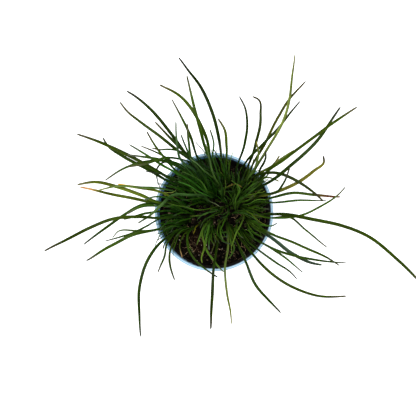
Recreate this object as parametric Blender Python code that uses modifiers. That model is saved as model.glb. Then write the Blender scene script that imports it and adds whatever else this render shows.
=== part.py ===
"""A pot of garlic chives: a pale blue tapered pot, its soil, and shoots of long flat leaves.

Metres, +Z up. The origin is the middle of the pot's underside. +X and +Y run right and up in the view from
straight above. The leaves' routes are points of that view, which SCALE turns into metres at the rim's level.
"""

import math

import bmesh
import bpy
import numpy as np

# The pot
RIM_DIAMETER = 0.105
POT_HEIGHT = 0.095
BASE_DIAMETER = 0.073
WALL = 0.0014
FLOOR = 0.0022
LIP_WIDTH = 0.0023
LIP_HEIGHT = 0.008
LIP_STEP = 0.0012
LIP_ROUNDING = 0.0007
LIP_DRAFT = 0.0003
BASE_CHAMFER = 0.0010
TURNS = 32
HOLE_DIAMETER = 0.008
HOLE_CIRCLE = 0.026
HOLE_SIDES = 12
HOLES = 4

# The soil, whose waves are each a height, its turns across and up the view, and where it starts
GAP = 0.0003
SOIL_LEVEL = 0.086
SOIL_LEAN = 0.028
SOIL_EDGE_DROP = 0.0016
SOIL_RINGS = (0.0, 0.016, 0.034)
SOIL_WAVES = ((0.0008, 118.0, 53.0, 0.6), (0.0006, -71.0, 160.0, 1.9))
POCKET_ROOM = 0.00045

# The shoots: a short stem in the soil, with the leaves growing out of its top
STEM_DEPTH = 0.007
STEM_RISE = 0.011
STEM_FOOT_RADIUS = 0.0019
STEM_TOP_RADIUS = 0.0014
STEM_SIDES = 5
LEAF_START = 0.003
LEAF_STATIONS = 9
SHORT_LEAF = 0.095
KEEL = 0.3
FOOT_WIDTH = 0.72
SHOULDER = 0.10
TAPER_START = 0.6
TAPER_POWER = 1.6
TIP_WIDTH = 0.38
SLOPE_POWER = 1.15
SLOPE_SAMPLES = 121
CURVE_SAMPLES = 24
HEIGHT_PASSES = 5
FLAT_ANGLE = 0.01

# How crossing leaves push one another apart: the room between them, and how freely each station gives way
LEAF_CLEARANCE = 0.0006
SETTLE_REACH = 0.002
SETTLE_ROUNDS = 600
SETTLE_PUSH = 0.7
SETTLE_SPREAD = 0.2
LOOSENING = 0.45
JOINED_STATIONS = 2

# The view that the routes are read in: a frame of 416 points, seen from straight above its middle
RIM_ACROSS = 119.0
SCALE = RIM_DIAMETER / RIM_ACROSS
POT_AT = (214.0, 212.0)
EYE_AT = (208.0, 208.0)
EYE_HEIGHT = 0.90

# Each shoot has its foot, then its leaves. A leaf is its width in millimetres, its slope in degrees at the
# foot and at the tip, and the points it passes over on its way to the tip.
SHOOTS = {
    "shoot_back_1": ((218, 187), [
        (2.4, 84, -18, (216, 178), (208, 156), (202, 137), (196, 113), (190, 90), (187, 75)),
        (2.5, 80, -42, (213, 172), (210, 157), (207, 140), (196, 116), (178, 94.5), (159, 84.5)),
        (2.1, 86, 55, (212, 168), (209, 159), (203, 150), (195.5, 141)),
    ]),
    "shoot_back_2": ((224, 184), [
        (2.6, 84, -45, (223.5, 167), (221.5, 142), (213, 111), (200, 85), (188, 70), (178.5, 57)),
        (2.0, 86, 60, (225, 176), (220, 160), (213, 149)),
    ]),
    "shoot_back_3": ((230, 186), [
        (2.4, 85, 9, (225.5, 170), (226, 147), (224, 131), (216.5, 119)),
        (1.6, 84, 45, (222.5, 170), (220.5, 154), (220, 142)),
        (2.0, 84, 45, (226.5, 176), (224.5, 163), (223.5, 153)),
    ]),
    "shoot_back_4": ((221, 193), [
        (1.9, 86, 62, (214, 176), (209, 158), (205.5, 144)),
        (2.0, 86, 45, (218, 174), (212.5, 157), (213.8, 143), (209.5, 129)),
    ]),
    "shoot_back_left_1": ((214, 193), [
        (2.2, 84, 2, (209, 178), (198, 160), (190, 136), (180, 115), (171.5, 98.5)),
        (2.3, 85, 40, (206, 176), (190.5, 158), (188.5, 141), (187.3, 123.5)),
        (2.6, 82, 66, (210, 177), (204, 170), (190, 158)),
        (2.6, 82, 52, (214, 182), (206, 172), (197, 163)),
    ]),
    "shoot_back_left_2": ((208, 190), [
        (1.9, 85, 38, (200, 174), (179.5, 158), (176.5, 138), (176, 121)),
        (1.9, 85, 48, (203, 172), (189, 154), (184, 143), (181, 134)),
        (2.6, 82, 62, (200, 180), (190, 171), (182, 163)),
        (2.4, 82, 55, (203, 179), (196, 168), (188, 160)),
    ]),
    "shoot_back_left_3": ((211, 199), [
        (2.6, 82, -34, (205, 178), (186, 157), (170, 133), (150, 108.5), (133, 95), (126, 91)),
        (2.3, 84, 6, (200, 173), (178, 147), (164, 131), (154.5, 121.5)),
        (2.4, 80, 55, (209, 186), (204, 176), (198, 168)),
    ]),
    "shoot_back_left_4": ((205, 196), [
        (2.1, 83, -1, (190, 178), (177, 171), (165, 158), (155, 145), (146.3, 131)),
        (1.8, 83, -4, (185, 171), (170, 159.5), (153, 151), (140.5, 145.5)),
        (1.7, 84, 30, (195, 165), (180, 151.5), (168, 149.5), (160, 149.7), (151, 147.5)),
        (2.2, 80, 50, (198, 187), (191, 178), (184, 170)),
    ]),
    "shoot_back_left_5": ((217, 200), [
        (2.3, 83, -24, (207, 177), (183, 156), (160, 136), (140, 121.5), (127, 111.5), (119, 101.5)),
        (2.3, 82, -18, (206, 188), (175, 171), (160, 161.5), (141, 151.5), (128.5, 144.5)),
        (2.7, 80, 58, (205, 185), (194, 177), (182, 172)),
        (2.4, 80, 55, (214, 190), (211, 181), (204, 174)),
    ]),
    "shoot_back_left_6": ((201, 201), [
        (2.0, 83, -31, (188, 172), (178, 165), (163, 161.5), (140, 163.3), (121, 170), (104.5, 180.5)),
        (1.9, 84, -4, (194, 164), (181, 159.5), (166, 157.5), (146, 163.5), (127, 167.5)),
        (2.1, 81, 4, (182, 169), (163, 162), (143, 157), (127, 154.5)),
    ]),
    "shoot_back_left_7": ((205, 206), [
        (2.7, 79, -44, (196, 192), (172, 181), (157, 171.5), (133, 157.5), (107, 145.5), (76.5, 134)),
        (1.8, 82, 4, (190, 187), (170, 179), (158, 171.5), (146, 165)),
        (2.2, 79, 45, (196, 199), (187, 193), (178, 189)),
    ]),
    "shoot_back_left_8": ((198, 206), [
        (2.7, 78, -34, (192, 191), (167, 181), (148, 169.5), (122, 156), (108, 146.5), (102.3, 137)),
        (1.7, 82, 28, (182, 185), (163, 174), (154, 173), (145, 171)),
        (2.2, 79, 48, (189, 198), (181, 192), (173, 188)),
    ]),
    "shoot_back_left_9": ((196, 196), [
        (2.1, 84, -21, (186, 176), (175, 165), (164, 162.5), (157, 170), (157.5, 180), (162.5, 193.5)),
        (1.5, 84, -40, (190, 174), (182, 168), (178.5, 174), (180, 182), (176, 191), (161, 192)),
        (2.0, 80, 45, (190, 188), (183, 181), (176, 178)),
    ]),
    "shoot_left_1": ((193, 212), [
        (2.8, 77, -46, (180, 205), (158, 203), (140, 195), (120, 187.3), (97, 182), (77, 184.7)),
        (2.6, 80, -20, (176, 200), (160, 191.5), (140, 187.8), (117.5, 184)),
        (2.0, 82, 34, (176, 199), (165, 196), (152, 197), (143.5, 200)),
    ]),
    "shoot_left_2": ((189, 205), [
        (2.5, 78, -40, (174, 206), (156, 203), (140, 200), (120, 196), (97, 191), (79.5, 187)),
        (2.0, 82, -22, (178, 193), (160, 188.5), (140, 187), (118, 186.2), (98, 190)),
        (2.0, 80, 45, (182, 202), (174, 200), (166, 199.5)),
    ]),
    "shoot_left_3": ((186, 212), [
        (2.2, 80, -40, (172, 206), (157, 203), (144, 204.5), (124, 215), (106, 227.5), (83.5, 245)),
        (2.1, 82, 6, (177, 211), (163, 211), (148, 213.2), (123.3, 219.5)),
        (2.4, 82, 28, (174, 207), (158, 206.5), (140, 208.5), (127, 213.8)),
    ]),
    "shoot_left_4": ((198, 216), [
        (2.5, 77, -48, (180, 217), (160, 219), (140, 217), (118, 218), (90, 227.8), (60, 243), (44, 251.5)),
        (1.8, 84, 50, (184, 210), (175, 205), (166, 207)),
        (2.2, 80, 42, (190, 213), (182, 213), (173, 216)),
    ]),
    "shoot_left_5": ((184, 219), [
        (1.6, 81, -30, (172, 216), (158, 219.5), (145, 227), (132, 233.5), (120, 237), (104.5, 241)),
        (1.8, 80, -24, (170, 227), (150, 230.5), (134, 230.3), (118, 231.5), (112, 238)),
        (1.8, 84, 50, (178, 214), (170, 217), (165, 224)),
    ]),
    "shoot_left_6": ((190, 221), [
        (2.5, 79, -42, (174, 226), (155, 230), (130, 236), (110, 246.5), (86, 261)),
        (1.8, 83, 38, (176, 220), (166, 223), (160, 230)),
        (2.0, 80, 45, (183, 223), (176, 226), (171, 232)),
    ]),
    "shoot_left_7": ((185, 226), [
        (2.0, 81, -16, (176, 232), (168, 242), (164, 257.5), (158, 273)),
        (1.8, 84, 48, (172, 226), (161.5, 233), (156.5, 243), (155, 247)),
    ]),
    "shoot_left_8": ((193, 228), [
        (2.5, 78, -54, (178, 231), (162, 241), (148, 259.5), (139, 288), (139.5, 318), (140.6, 337)),
        (2.2, 82, -1, (180, 232), (172, 245), (169.2, 260), (174.7, 280.5)),
        (1.5, 85, 42, (185, 233), (180, 246), (182, 258)),
    ]),
    "shoot_front_1": ((200, 223), [
        (2.1, 80, -26, (188, 233), (187.5, 246), (194, 258.5), (206, 270), (218, 277.3)),
        (1.5, 85, 66, (196, 227), (193.5, 234)),
    ]),
    "shoot_front_2": ((206, 220), [
        (2.1, 80, -22, (202.5, 234), (206, 248), (215, 262.5), (224, 272)),
        (2.2, 82, 9, (202.5, 231), (204.5, 248), (201.5, 260), (202, 263)),
    ]),
    "shoot_front_3": ((213, 217), [
        (2.1, 82, 34, (211, 222), (207.5, 233), (206, 246)),
        (1.9, 86, 60, (205, 226), (200, 236), (197, 245)),
        (2.0, 80, 20, (210, 226), (209.5, 238), (209, 250)),
    ]),
    "shoot_front_4": ((219, 221), [
        (2.5, 78, -48, (217.5, 238), (214.5, 262), (212.3, 290), (211.3, 315), (210.5, 329.5)),
        (1.6, 85, 55, (221.5, 232), (226, 232), (227, 238)),
        (1.8, 80, 45, (220, 230), (221.5, 240), (226, 243)),
    ]),
    "shoot_front_5": ((226, 220), [
        (1.8, 79, -46, (228, 247), (224.8, 268), (227, 294), (230.7, 312), (231.5, 324.5)),
        (2.2, 79, -46, (233, 229), (246, 246), (265, 267.5), (290, 286), (315, 295.5), (347, 296)),
        (1.9, 80, 42, (230, 230), (232, 239), (236, 244)),
    ]),
    "shoot_front_6": ((231, 226), [
        (2.3, 79, -46, (236, 240), (245.5, 261.5), (256, 285), (269, 300.5), (281, 313)),
        (1.8, 84, 30, (231, 240), (234, 248), (232, 254), (228, 259)),
        (2.0, 80, 48, (237, 232), (243, 238)),
    ]),
    "shoot_front_7": ((213, 226), [
        (1.8, 85, 48, (219, 236), (225, 242), (231, 245)),
        (1.8, 86, 62, (211, 236), (214, 246)),
    ]),
    "shoot_front_right_1": ((237, 221), [
        (1.7, 80, -30, (244, 237), (257, 249), (277, 263), (289, 271), (297, 279.5)),
        (1.8, 85, 60, (237, 231), (243, 238)),
    ]),
    "shoot_front_right_2": ((244, 218), [
        (2.1, 78, -40, (255, 227), (272, 234), (297, 244), (323, 255.5), (340, 265.5)),
        (1.9, 83, 4, (252, 221), (262, 225), (271, 226), (277.5, 223)),
        (2.0, 80, 35, (253, 222), (262, 228), (270, 235)),
    ]),
    "shoot_front_right_3": ((246, 225), [
        (2.9, 78, -42, (262, 232), (277, 242), (294, 255), (306, 261), (322, 265.5)),
        (2.0, 84, 58, (252, 231), (263, 238)),
    ]),
    "shoot_front_right_4": ((239, 228), [
        (2.0, 79, -40, (257, 240), (274, 249), (296, 256.5), (318, 260.5), (347, 263)),
        (1.7, 80, -24, (256, 240), (268, 246), (282, 255.5), (303.5, 272.5)),
    ]),
    "shoot_right_1": ((243, 211), [
        (2.8, 77, -56, (265, 214), (285, 215), (310, 219), (340, 224.8), (366, 235), (398, 259.5),
         (426, 289)),
        (2.0, 84, 30, (243.5, 218), (239, 228), (233, 241), (230.5, 246)),
    ]),
    "shoot_right_2": ((251, 215), [
        (1.6, 80, -34, (271, 217.7), (290, 217.3), (306, 230), (320, 242), (327.5, 247.5)),
    ]),
    "shoot_right_3": ((238, 206), [
        (1.7, 79, -34, (256, 212), (278, 216), (298, 215.5), (320, 207), (337, 195.5), (346, 186.5)),
        (1.8, 79, -26, (255, 204), (270, 203.5), (300, 200.2), (326.5, 200.5)),
        (2.2, 80, 28, (248, 208), (258, 209.5), (269, 209.5)),
    ]),
    "shoot_right_4": ((244, 204), [
        (2.3, 78, -40, (260, 201), (275, 196.8), (296, 193), (318, 195.5), (341, 197)),
        (1.9, 83, 30, (262, 194), (277.5, 192), (283, 184), (290, 167.5)),
    ]),
    "shoot_right_5": ((236, 199), [
        (2.7, 78, -44, (250, 198.5), (270, 194.5), (289, 187), (314, 171), (324, 162), (323, 155.5)),
        (2.4, 83, 68, (240, 194), (250, 189.5), (259, 181.5)),
        (2.4, 80, 45, (243, 192), (251, 186), (258, 181)),
    ]),
    "shoot_right_6": ((250, 207), [
        (1.8, 85, 58, (259, 205), (267, 199), (272, 192)),
        (2.0, 85, 62, (258, 211), (268, 209)),
        (2.0, 80, 30, (258, 203.5), (268, 202.5)),
    ]),
    "shoot_right_7": ((244, 196), [
        (2.6, 78, -34, (255, 190), (273, 180), (294, 163.5), (318, 138.5), (340.5, 106.5)),
        (2.4, 81, -28, (252, 178), (271, 173), (292, 178.5), (311, 190.5), (323.5, 201)),
        (2.3, 80, 45, (249, 188), (255, 181), (260, 174)),
    ]),
    "shoot_back_right_1": ((250, 191), [
        (2.4, 79, -40, (262, 174), (285, 159), (311, 140), (330, 125.5), (357.5, 107)),
        (2.1, 82, 6, (260, 175), (273, 165), (280, 155.5)),
        (2.0, 80, 35, (257, 184), (264, 178), (270, 172)),
    ]),
    "shoot_back_right_2": ((256, 186), [
        (1.6, 82, 2, (272, 167), (283, 157), (295, 150)),
        (1.6, 83, 28, (264, 178), (273, 178.5), (279, 181.5)),
        (2.0, 85, 48, (260, 172), (265.5, 157), (265.5, 151)),
    ]),
    "shoot_back_right_3": ((247, 184), [
        (2.1, 82, -42, (253, 173), (266, 151), (280, 128), (290, 97), (292.7, 72), (295, 54.5)),
        (2.1, 82, -30, (252, 166), (266, 144), (279, 118), (291, 97), (306, 81)),
    ]),
    "shoot_back_right_4": ((241, 186), [
        (2.1, 82, -21, (244, 166), (262, 144), (280, 123.5), (300.5, 101)),
        (2.3, 84, -21, (247, 168), (255.5, 144), (260.7, 115), (259, 100), (252, 96.5)),
        (1.9, 86, 45, (250, 175), (258, 158), (256.5, 141)),
    ]),
    "shoot_back_right_5": ((236, 191), [
        (2.1, 84, -1, (236, 173), (244.5, 144), (247.5, 125), (245, 107), (239, 96)),
        (2.0, 86, 66, (240, 181), (237, 172)),
        (2.1, 82, 45, (241, 183), (245, 174), (248, 166)),
    ]),
    "shoot_middle_1": ((212, 206), [
        (2.3, 80, -22, (204, 196), (192, 193), (177, 195), (160, 204.5), (146, 217), (137.5, 223.5)),
        (2.4, 80, 48, (203, 202), (193, 204), (185, 208)),
    ]),
    "shoot_middle_2": ((222, 208), [
        (1.1, 84, 32, (217, 205), (207, 199), (203, 193.5), (205.5, 188.5)),
        (2.1, 85, 45, (215, 214), (205, 220), (200, 228)),
        (2.0, 80, 22, (210, 209.5), (195, 210), (182, 207), (168, 204)),
    ]),
    "shoot_middle_3": ((223, 201), [
        (1.5, 85, 30, (222, 191), (229, 187), (237, 184.5), (242, 187)),
        (2.1, 86, 66, (222, 187), (219, 176)),
        (2.2, 82, 50, (221, 193), (215, 186), (212, 178)),
    ]),
    "shoot_middle_4": ((232, 208), [
        (1.7, 85, 52, (236, 199), (238, 192), (238, 186)),
        (1.9, 86, 60, (240, 203), (248, 200), (254, 195)),
        (2.2, 80, 42, (240, 200), (248, 194), (255, 188)),
    ]),
    "shoot_middle_5": ((229, 199), [
        (1.6, 86, 62, (231, 194), (228, 188)),
        (2.1, 85, 60, (232, 190), (234, 180), (233, 172)),
        (2.0, 82, 50, (234, 191), (239, 183), (243, 176)),
    ]),
    "shoot_middle_6": ((229, 214), [
        (1.8, 84, 40, (224, 222), (221, 232), (223, 240)),
        (2.0, 85, 58, (240, 213), (250, 216), (258, 222)),
    ]),
    "shoot_middle_7": ((236, 213), [
        (1.7, 85, 44, (236, 200), (240, 189), (231, 180)),
        (2.0, 80, 42, (242, 211), (250, 212), (258, 214)),
    ]),
    "shoot_middle_8": ((227, 206), [
        (1.4, 84, 40, (232, 202), (232, 196), (228, 190)),
        (1.3, 82, 20, (221, 208.5), (210, 210.5)),
        (1.5, 84, 45, (229, 211), (226, 216), (220, 218.5)),
        (1.4, 85, 50, (225, 202), (221, 199), (215, 195)),
    ]),
}


def clear_scene():
    for thing in list(bpy.data.objects):
        bpy.data.objects.remove(thing, do_unlink=True)


def collection(name):
    made = bpy.data.collections.new(name)
    bpy.context.scene.collection.children.link(made)
    return made


def material(name, colour, roughness, metallic=0.0):
    made = bpy.data.materials.new(name)
    made.use_nodes = True
    shader = made.node_tree.nodes["Principled BSDF"]
    shader.inputs["Base Color"].default_value = (*colour, 1.0)
    shader.inputs["Roughness"].default_value = roughness
    shader.inputs["Metallic"].default_value = metallic
    return made


def hide_as_cutter(thing):
    thing.hide_render = True
    thing.display_type = "WIRE"


def add_boolean(thing, cutter, operation):
    step = thing.modifiers.new(f"{operation.lower()} {cutter.name}", "BOOLEAN")
    step.operation = operation
    step.object = cutter
    step.solver = "EXACT"


def merge_flat_faces(thing):
    step = thing.modifiers.new("merge flat faces", "DECIMATE")
    step.decimate_type = "DISSOLVE"
    step.angle_limit = FLAT_ANGLE


def turned(name, profile, folder):
    """A solid of revolution from (radius, height) points that run down its outer side."""
    mesh = bpy.data.meshes.new(name)
    points = [(radius, 0.0, height) for radius, height in profile]
    edges = [(i, i + 1) for i in range(len(points) - 1)]
    mesh.from_pydata(points, edges, [])
    made = bpy.data.objects.new(name, mesh)
    folder.objects.link(made)
    screw = made.modifiers.new("turn", "SCREW")
    screw.steps = TURNS
    screw.render_steps = TURNS
    screw.use_merge_vertices = True
    screw.merge_threshold = 0.00005
    screw.use_smooth_shade = False
    return made


def as_mesh(thing, folder):
    """Replaces a curve, or an object with modifiers, by its finished mesh with the loose caps welded."""
    depsgraph = bpy.context.evaluated_depsgraph_get()
    name = thing.name
    mesh = bpy.data.meshes.new_from_object(thing.evaluated_get(depsgraph))
    welded = bmesh.new()
    welded.from_mesh(mesh)
    bmesh.ops.remove_doubles(welded, verts=welded.verts, dist=0.000001)
    bmesh.ops.recalc_face_normals(welded, faces=welded.faces)
    welded.to_mesh(mesh)
    welded.free()
    made = bpy.data.objects.new(name, mesh)
    made.matrix_world = thing.matrix_world
    bpy.data.objects.remove(thing, do_unlink=True)
    made.name = name
    folder.objects.link(made)
    return made


def wall_radius(height):
    """The pot's outer radius under the lip: a straight taper from the base to just below the rim."""
    base = BASE_DIAMETER / 2
    top = RIM_DIAMETER / 2 - LIP_STEP
    return base + (top - base) * height / POT_HEIGHT


def soil_height(x, y):
    """The soil's surface: a slope down to the back left, and low waves."""
    waves = sum(rise * np.sin(across * x + up * y + start) for rise, across, up, start in SOIL_WAVES)
    return SOIL_LEVEL + SOIL_LEAN * (x - y) + waves


def make_pot(parts, cutters):
    rim = RIM_DIAMETER / 2
    lip_foot = POT_HEIGHT - LIP_HEIGHT
    inner_top = rim - LIP_WIDTH
    profile = [
        (0.0, FLOOR),
        (wall_radius(FLOOR) - WALL, FLOOR),
        (wall_radius(lip_foot) - WALL, lip_foot),
        (inner_top, POT_HEIGHT - LIP_ROUNDING),
        (inner_top + LIP_ROUNDING, POT_HEIGHT),
        (rim - LIP_ROUNDING, POT_HEIGHT),
        (rim, POT_HEIGHT - LIP_ROUNDING),
        (rim - LIP_DRAFT, lip_foot),
        (wall_radius(lip_foot), lip_foot - LIP_DRAFT),
        (wall_radius(BASE_CHAMFER), BASE_CHAMFER),
        (wall_radius(0.0) - BASE_CHAMFER, 0.0),
        (0.0, 0.0),
    ]
    pot = turned("pot", profile, parts)
    pot.data.materials.append(material("pale blue plastic", (0.42, 0.66, 0.84), 0.42))
    for number in range(HOLES):
        angle = math.tau * (number + 0.5) / HOLES
        bpy.ops.mesh.primitive_cylinder_add(vertices=HOLE_SIDES, radius=HOLE_DIAMETER / 2, depth=4 * FLOOR)
        hole = bpy.context.object
        hole.name = f"drain hole {number + 1}"
        hole.location = (HOLE_CIRCLE * math.cos(angle), HOLE_CIRCLE * math.sin(angle), FLOOR / 2)
        for holder in list(hole.users_collection):
            holder.objects.unlink(hole)
        cutters.objects.link(hole)
        hide_as_cutter(hole)
        add_boolean(pot, hole, "DIFFERENCE")
    return pot


def make_soil(parts, cutters, feet):
    bottom = FLOOR + GAP
    top_edge = SOIL_LEVEL - SOIL_EDGE_DROP
    top_rim = wall_radius(top_edge) - WALL - 2 * GAP
    profile = [(radius, SOIL_LEVEL) for radius in SOIL_RINGS]
    profile += [(top_rim, top_edge), (wall_radius(bottom) - WALL - 2 * GAP, bottom), (0.0, bottom)]
    soil = as_mesh(turned("soil", profile, parts), parts)
    for vertex in soil.data.vertices:
        if vertex.co.z > SOIL_LEVEL / 2:
            vertex.co.z += float(soil_height(vertex.co.x, vertex.co.y)) - SOIL_LEVEL
            inner = wall_radius(vertex.co.z) - WALL - 2 * GAP
            reach = math.hypot(vertex.co.x, vertex.co.y)
            if reach > (SOIL_RINGS[-1] + top_rim) / 2:
                vertex.co.x *= inner / reach
                vertex.co.y *= inner / reach
    soil.data.materials.append(material("dark potting soil", (0.035, 0.022, 0.014), 0.95))

    pockets = bmesh.new()
    for foot in feet:
        surface = float(soil_height(foot[0], foot[1]))
        low = surface - STEM_DEPTH - GAP
        high = surface + STEM_RISE
        radius = STEM_FOOT_RADIUS + POCKET_ROOM
        cone = bmesh.ops.create_cone(pockets, cap_ends=True, segments=STEM_SIDES, radius1=radius,
                                     radius2=radius, depth=high - low)
        bmesh.ops.translate(pockets, verts=cone["verts"], vec=(foot[0], foot[1], (low + high) / 2))
    mesh = bpy.data.meshes.new("root pockets")
    pockets.to_mesh(mesh)
    pockets.free()
    cutter = bpy.data.objects.new("root pockets", mesh)
    cutters.objects.link(cutter)
    hide_as_cutter(cutter)
    add_boolean(soil, cutter, "DIFFERENCE")
    return soil


def seen_at(points, heights):
    """Points of the view, as X and Y in metres at their heights: what is nearer the eye looks larger."""
    points = np.asarray(points, dtype=float)
    shrink = 1.0 - (heights - POT_HEIGHT) / EYE_HEIGHT
    x = (EYE_AT[0] - POT_AT[0]) * SCALE + (points[:, 0] - EYE_AT[0]) * SCALE * shrink
    y = (POT_AT[1] - EYE_AT[1]) * SCALE + (EYE_AT[1] - points[:, 1]) * SCALE * shrink
    return np.column_stack([x, y])


def smooth_curve(points):
    """A smooth curve through the points: cubic pieces whose slopes are the chords between the neighbours."""
    knots = np.concatenate([[0.0], np.cumsum(np.linalg.norm(np.diff(points, axis=0), axis=1))])
    slopes = np.gradient(points, knots, axis=0)
    along = np.linspace(0.0, 1.0, CURVE_SAMPLES, endpoint=False)[:, None]
    pieces = []
    for start in range(len(points) - 1):
        span = knots[start + 1] - knots[start]
        pieces.append((2 * along**3 - 3 * along**2 + 1) * points[start]
                      + (along**3 - 2 * along**2 + along) * span * slopes[start]
                      + (3 * along**2 - 2 * along**3) * points[start + 1]
                      + (along**3 - along**2) * span * slopes[start + 1])
    return np.vstack(pieces + [points[-1:]])


def leaf_path(foot, slopes, route):
    """The leaf's stations: its route seen from above, raised by a slope that turns from foot to tip."""
    share = np.linspace(0.0, 1.0, SLOPE_SAMPLES)
    slope = np.radians(slopes[0] + (slopes[1] - slopes[0]) * share**SLOPE_POWER)
    step = share[1]
    forward = np.concatenate([[0.0], np.cumsum((np.cos(slope[1:]) + np.cos(slope[:-1])) / 2 * step)])
    upward = np.concatenate([[0.0], np.cumsum((np.sin(slope[1:]) + np.sin(slope[:-1])) / 2 * step)])
    base = float(soil_height(foot[0], foot[1])) + LEAF_START
    heights = np.full(len(route), POT_HEIGHT)
    for _ in range(HEIGHT_PASSES):
        plan = np.vstack([foot, seen_at(route, heights)])
        curve = smooth_curve(plan)
        travel = np.concatenate([[0.0], np.cumsum(np.linalg.norm(np.diff(curve, axis=0), axis=1))])
        length = travel[-1] / forward[-1]
        passed = travel[np.arange(1, len(plan)) * CURVE_SAMPLES]
        heights = base + length * np.interp(passed, forward * length, upward)
    stations = np.linspace(0.0, 1.0, LEAF_STATIONS)
    reach = np.interp(stations, share, forward) * length
    return np.column_stack([
        np.interp(reach, travel, curve[:, 0]),
        np.interp(reach, travel, curve[:, 1]),
        base + length * np.interp(stations, share, upward),
    ])


def leaf_widths(width):
    """The leaf's width at its stations: narrow in the stem, even along the blade, drawn in to a blunt tip."""
    share = np.linspace(0.0, 1.0, LEAF_STATIONS)
    start = FOOT_WIDTH + (1.0 - FOOT_WIDTH) * np.clip(share / SHOULDER, 0.0, 1.0)
    taper = np.clip((share - TAPER_START) / (1.0 - TAPER_START), 0.0, 1.0)**TAPER_POWER
    return width * start * (1.0 - (1.0 - TIP_WIDTH) * taper)


def nearest_points(a0, a1, b0, b1):
    """Where each straight piece a comes nearest to its piece b, as shares of their lengths."""
    along_a = a1 - a0
    along_b = b1 - b0
    between = a0 - b0
    aa = np.sum(along_a * along_a, axis=1)
    bb = np.sum(along_b * along_b, axis=1)
    ab = np.sum(along_a * along_b, axis=1)
    ac = np.sum(along_a * between, axis=1)
    bc = np.sum(along_b * between, axis=1)
    spread = np.maximum(aa * bb - ab * ab, 1e-18)
    share_a = np.clip((ab * bc - ac * bb) / spread, 0.0, 1.0)
    share_b = np.clip((ab * share_a + bc) / bb, 0.0, 1.0)
    share_a = np.clip((ab * share_b - ac) / aa, 0.0, 1.0)
    return share_a, share_b


def touching_pairs(paths, radii, owners, stems, stem_radius):
    """The pieces of leaves and stems, by leaf, station and thickness, and the pairs that could touch."""
    leaves, pieces = len(paths), LEAF_STATIONS - 1
    owner = np.concatenate([np.repeat(owners, pieces), np.arange(len(stems))])
    station = np.concatenate([np.tile(np.arange(pieces), leaves), np.zeros(len(stems), dtype=int)])
    leaf = np.concatenate([np.repeat(np.arange(leaves), pieces), np.full(len(stems), -1)])
    thicker_end = np.maximum(radii[:, :-1], radii[:, 1:]).ravel()
    thick = np.concatenate([thicker_end, np.full(len(stems), stem_radius)])
    first, second = np.triu_indices(len(owner), 1)
    start, end = straight_pieces(paths, stems)
    low = np.minimum(start, end) - thick[:, None] - SETTLE_REACH
    high = np.maximum(start, end) + thick[:, None] + SETTLE_REACH
    keep = leaf[first] != leaf[second]
    for axis in range(3):
        keep &= (low[first, axis] <= high[second, axis]) & (low[second, axis] <= high[first, axis])
    kin = owner[first] == owner[second]
    free = (leaf[second] >= 0) & (station[first] > JOINED_STATIONS) & (station[second] > JOINED_STATIONS)
    keep &= ~kin | free
    return leaf, station, thick, first[keep], second[keep]


def straight_pieces(paths, stems):
    start = np.concatenate([paths[:, :-1].reshape(-1, 3), stems[:, 0]])
    end = np.concatenate([paths[:, 1:].reshape(-1, 3), stems[:, 1]])
    return start, end


def straighten(paths, short):
    """A short leaf has only every second station, so the ones between them lie midway."""
    paths[short, 1::2] = (paths[short, :-1:2] + paths[short, 2::2]) / 2
    return paths


def settle(paths, radii, owners, stems, stem_radius, short):
    """Moves leaves apart where they would touch, a little at a time, as crossing leaves push one another."""
    paths = straighten(paths, short)
    leaf, station, thick, first, second = touching_pairs(paths, radii, owners, stems, stem_radius)
    loose = np.clip(np.arange(LEAF_STATIONS) * LOOSENING, 0.0, 1.0)[None, :, None]
    for _ in range(SETTLE_ROUNDS):
        start, end = straight_pieces(paths, stems)
        share_one, share_two = nearest_points(start[first], end[first], start[second], end[second])
        here = start[first] + (end[first] - start[first]) * share_one[:, None]
        there = start[second] + (end[second] - start[second]) * share_two[:, None]
        away = here - there
        distance = np.linalg.norm(away, axis=1)
        lack = thick[first] + thick[second] - distance
        touching = lack > 0.0
        if not touching.any():
            break
        direction = away[touching] / np.maximum(distance[touching], 1e-9)[:, None]
        push = direction * lack[touching, None] * SETTLE_PUSH
        move = np.zeros_like(paths)
        for side, share, sign in ((first, share_one, 1.0), (second, share_two, -1.0)):
            which = leaf[side[touching]]
            grown = which >= 0
            at = station[side[touching]][grown]
            part = share[touching][grown, None]
            np.add.at(move, (which[grown], at), sign * push[grown] * (1.0 - part))
            np.add.at(move, (which[grown], at + 1), sign * push[grown] * part)
        padded = np.concatenate([move[:, :1], move, move[:, -1:]], axis=1)
        beside = padded[:, :-2] + padded[:, 2:]
        paths = straighten(paths + loose * (SETTLE_SPREAD * beside + (1.0 - 2 * SETTLE_SPREAD) * move), short)
    return paths


def blade_frames(path):
    """The leaf's sideways and upward directions at each station, carried along it without twisting."""
    along = np.gradient(path, axis=0)
    along /= np.linalg.norm(along, axis=1)[:, None]
    heading = path[JOINED_STATIONS + 1] - path[0]
    side = np.array([heading[1], -heading[0], 0.0])
    sides = []
    for direction in along:
        side = side - direction * (side @ direction)
        side = side / np.linalg.norm(side)
        sides.append(side)
    sides = np.array(sides)
    return sides, np.cross(sides, along)


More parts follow.
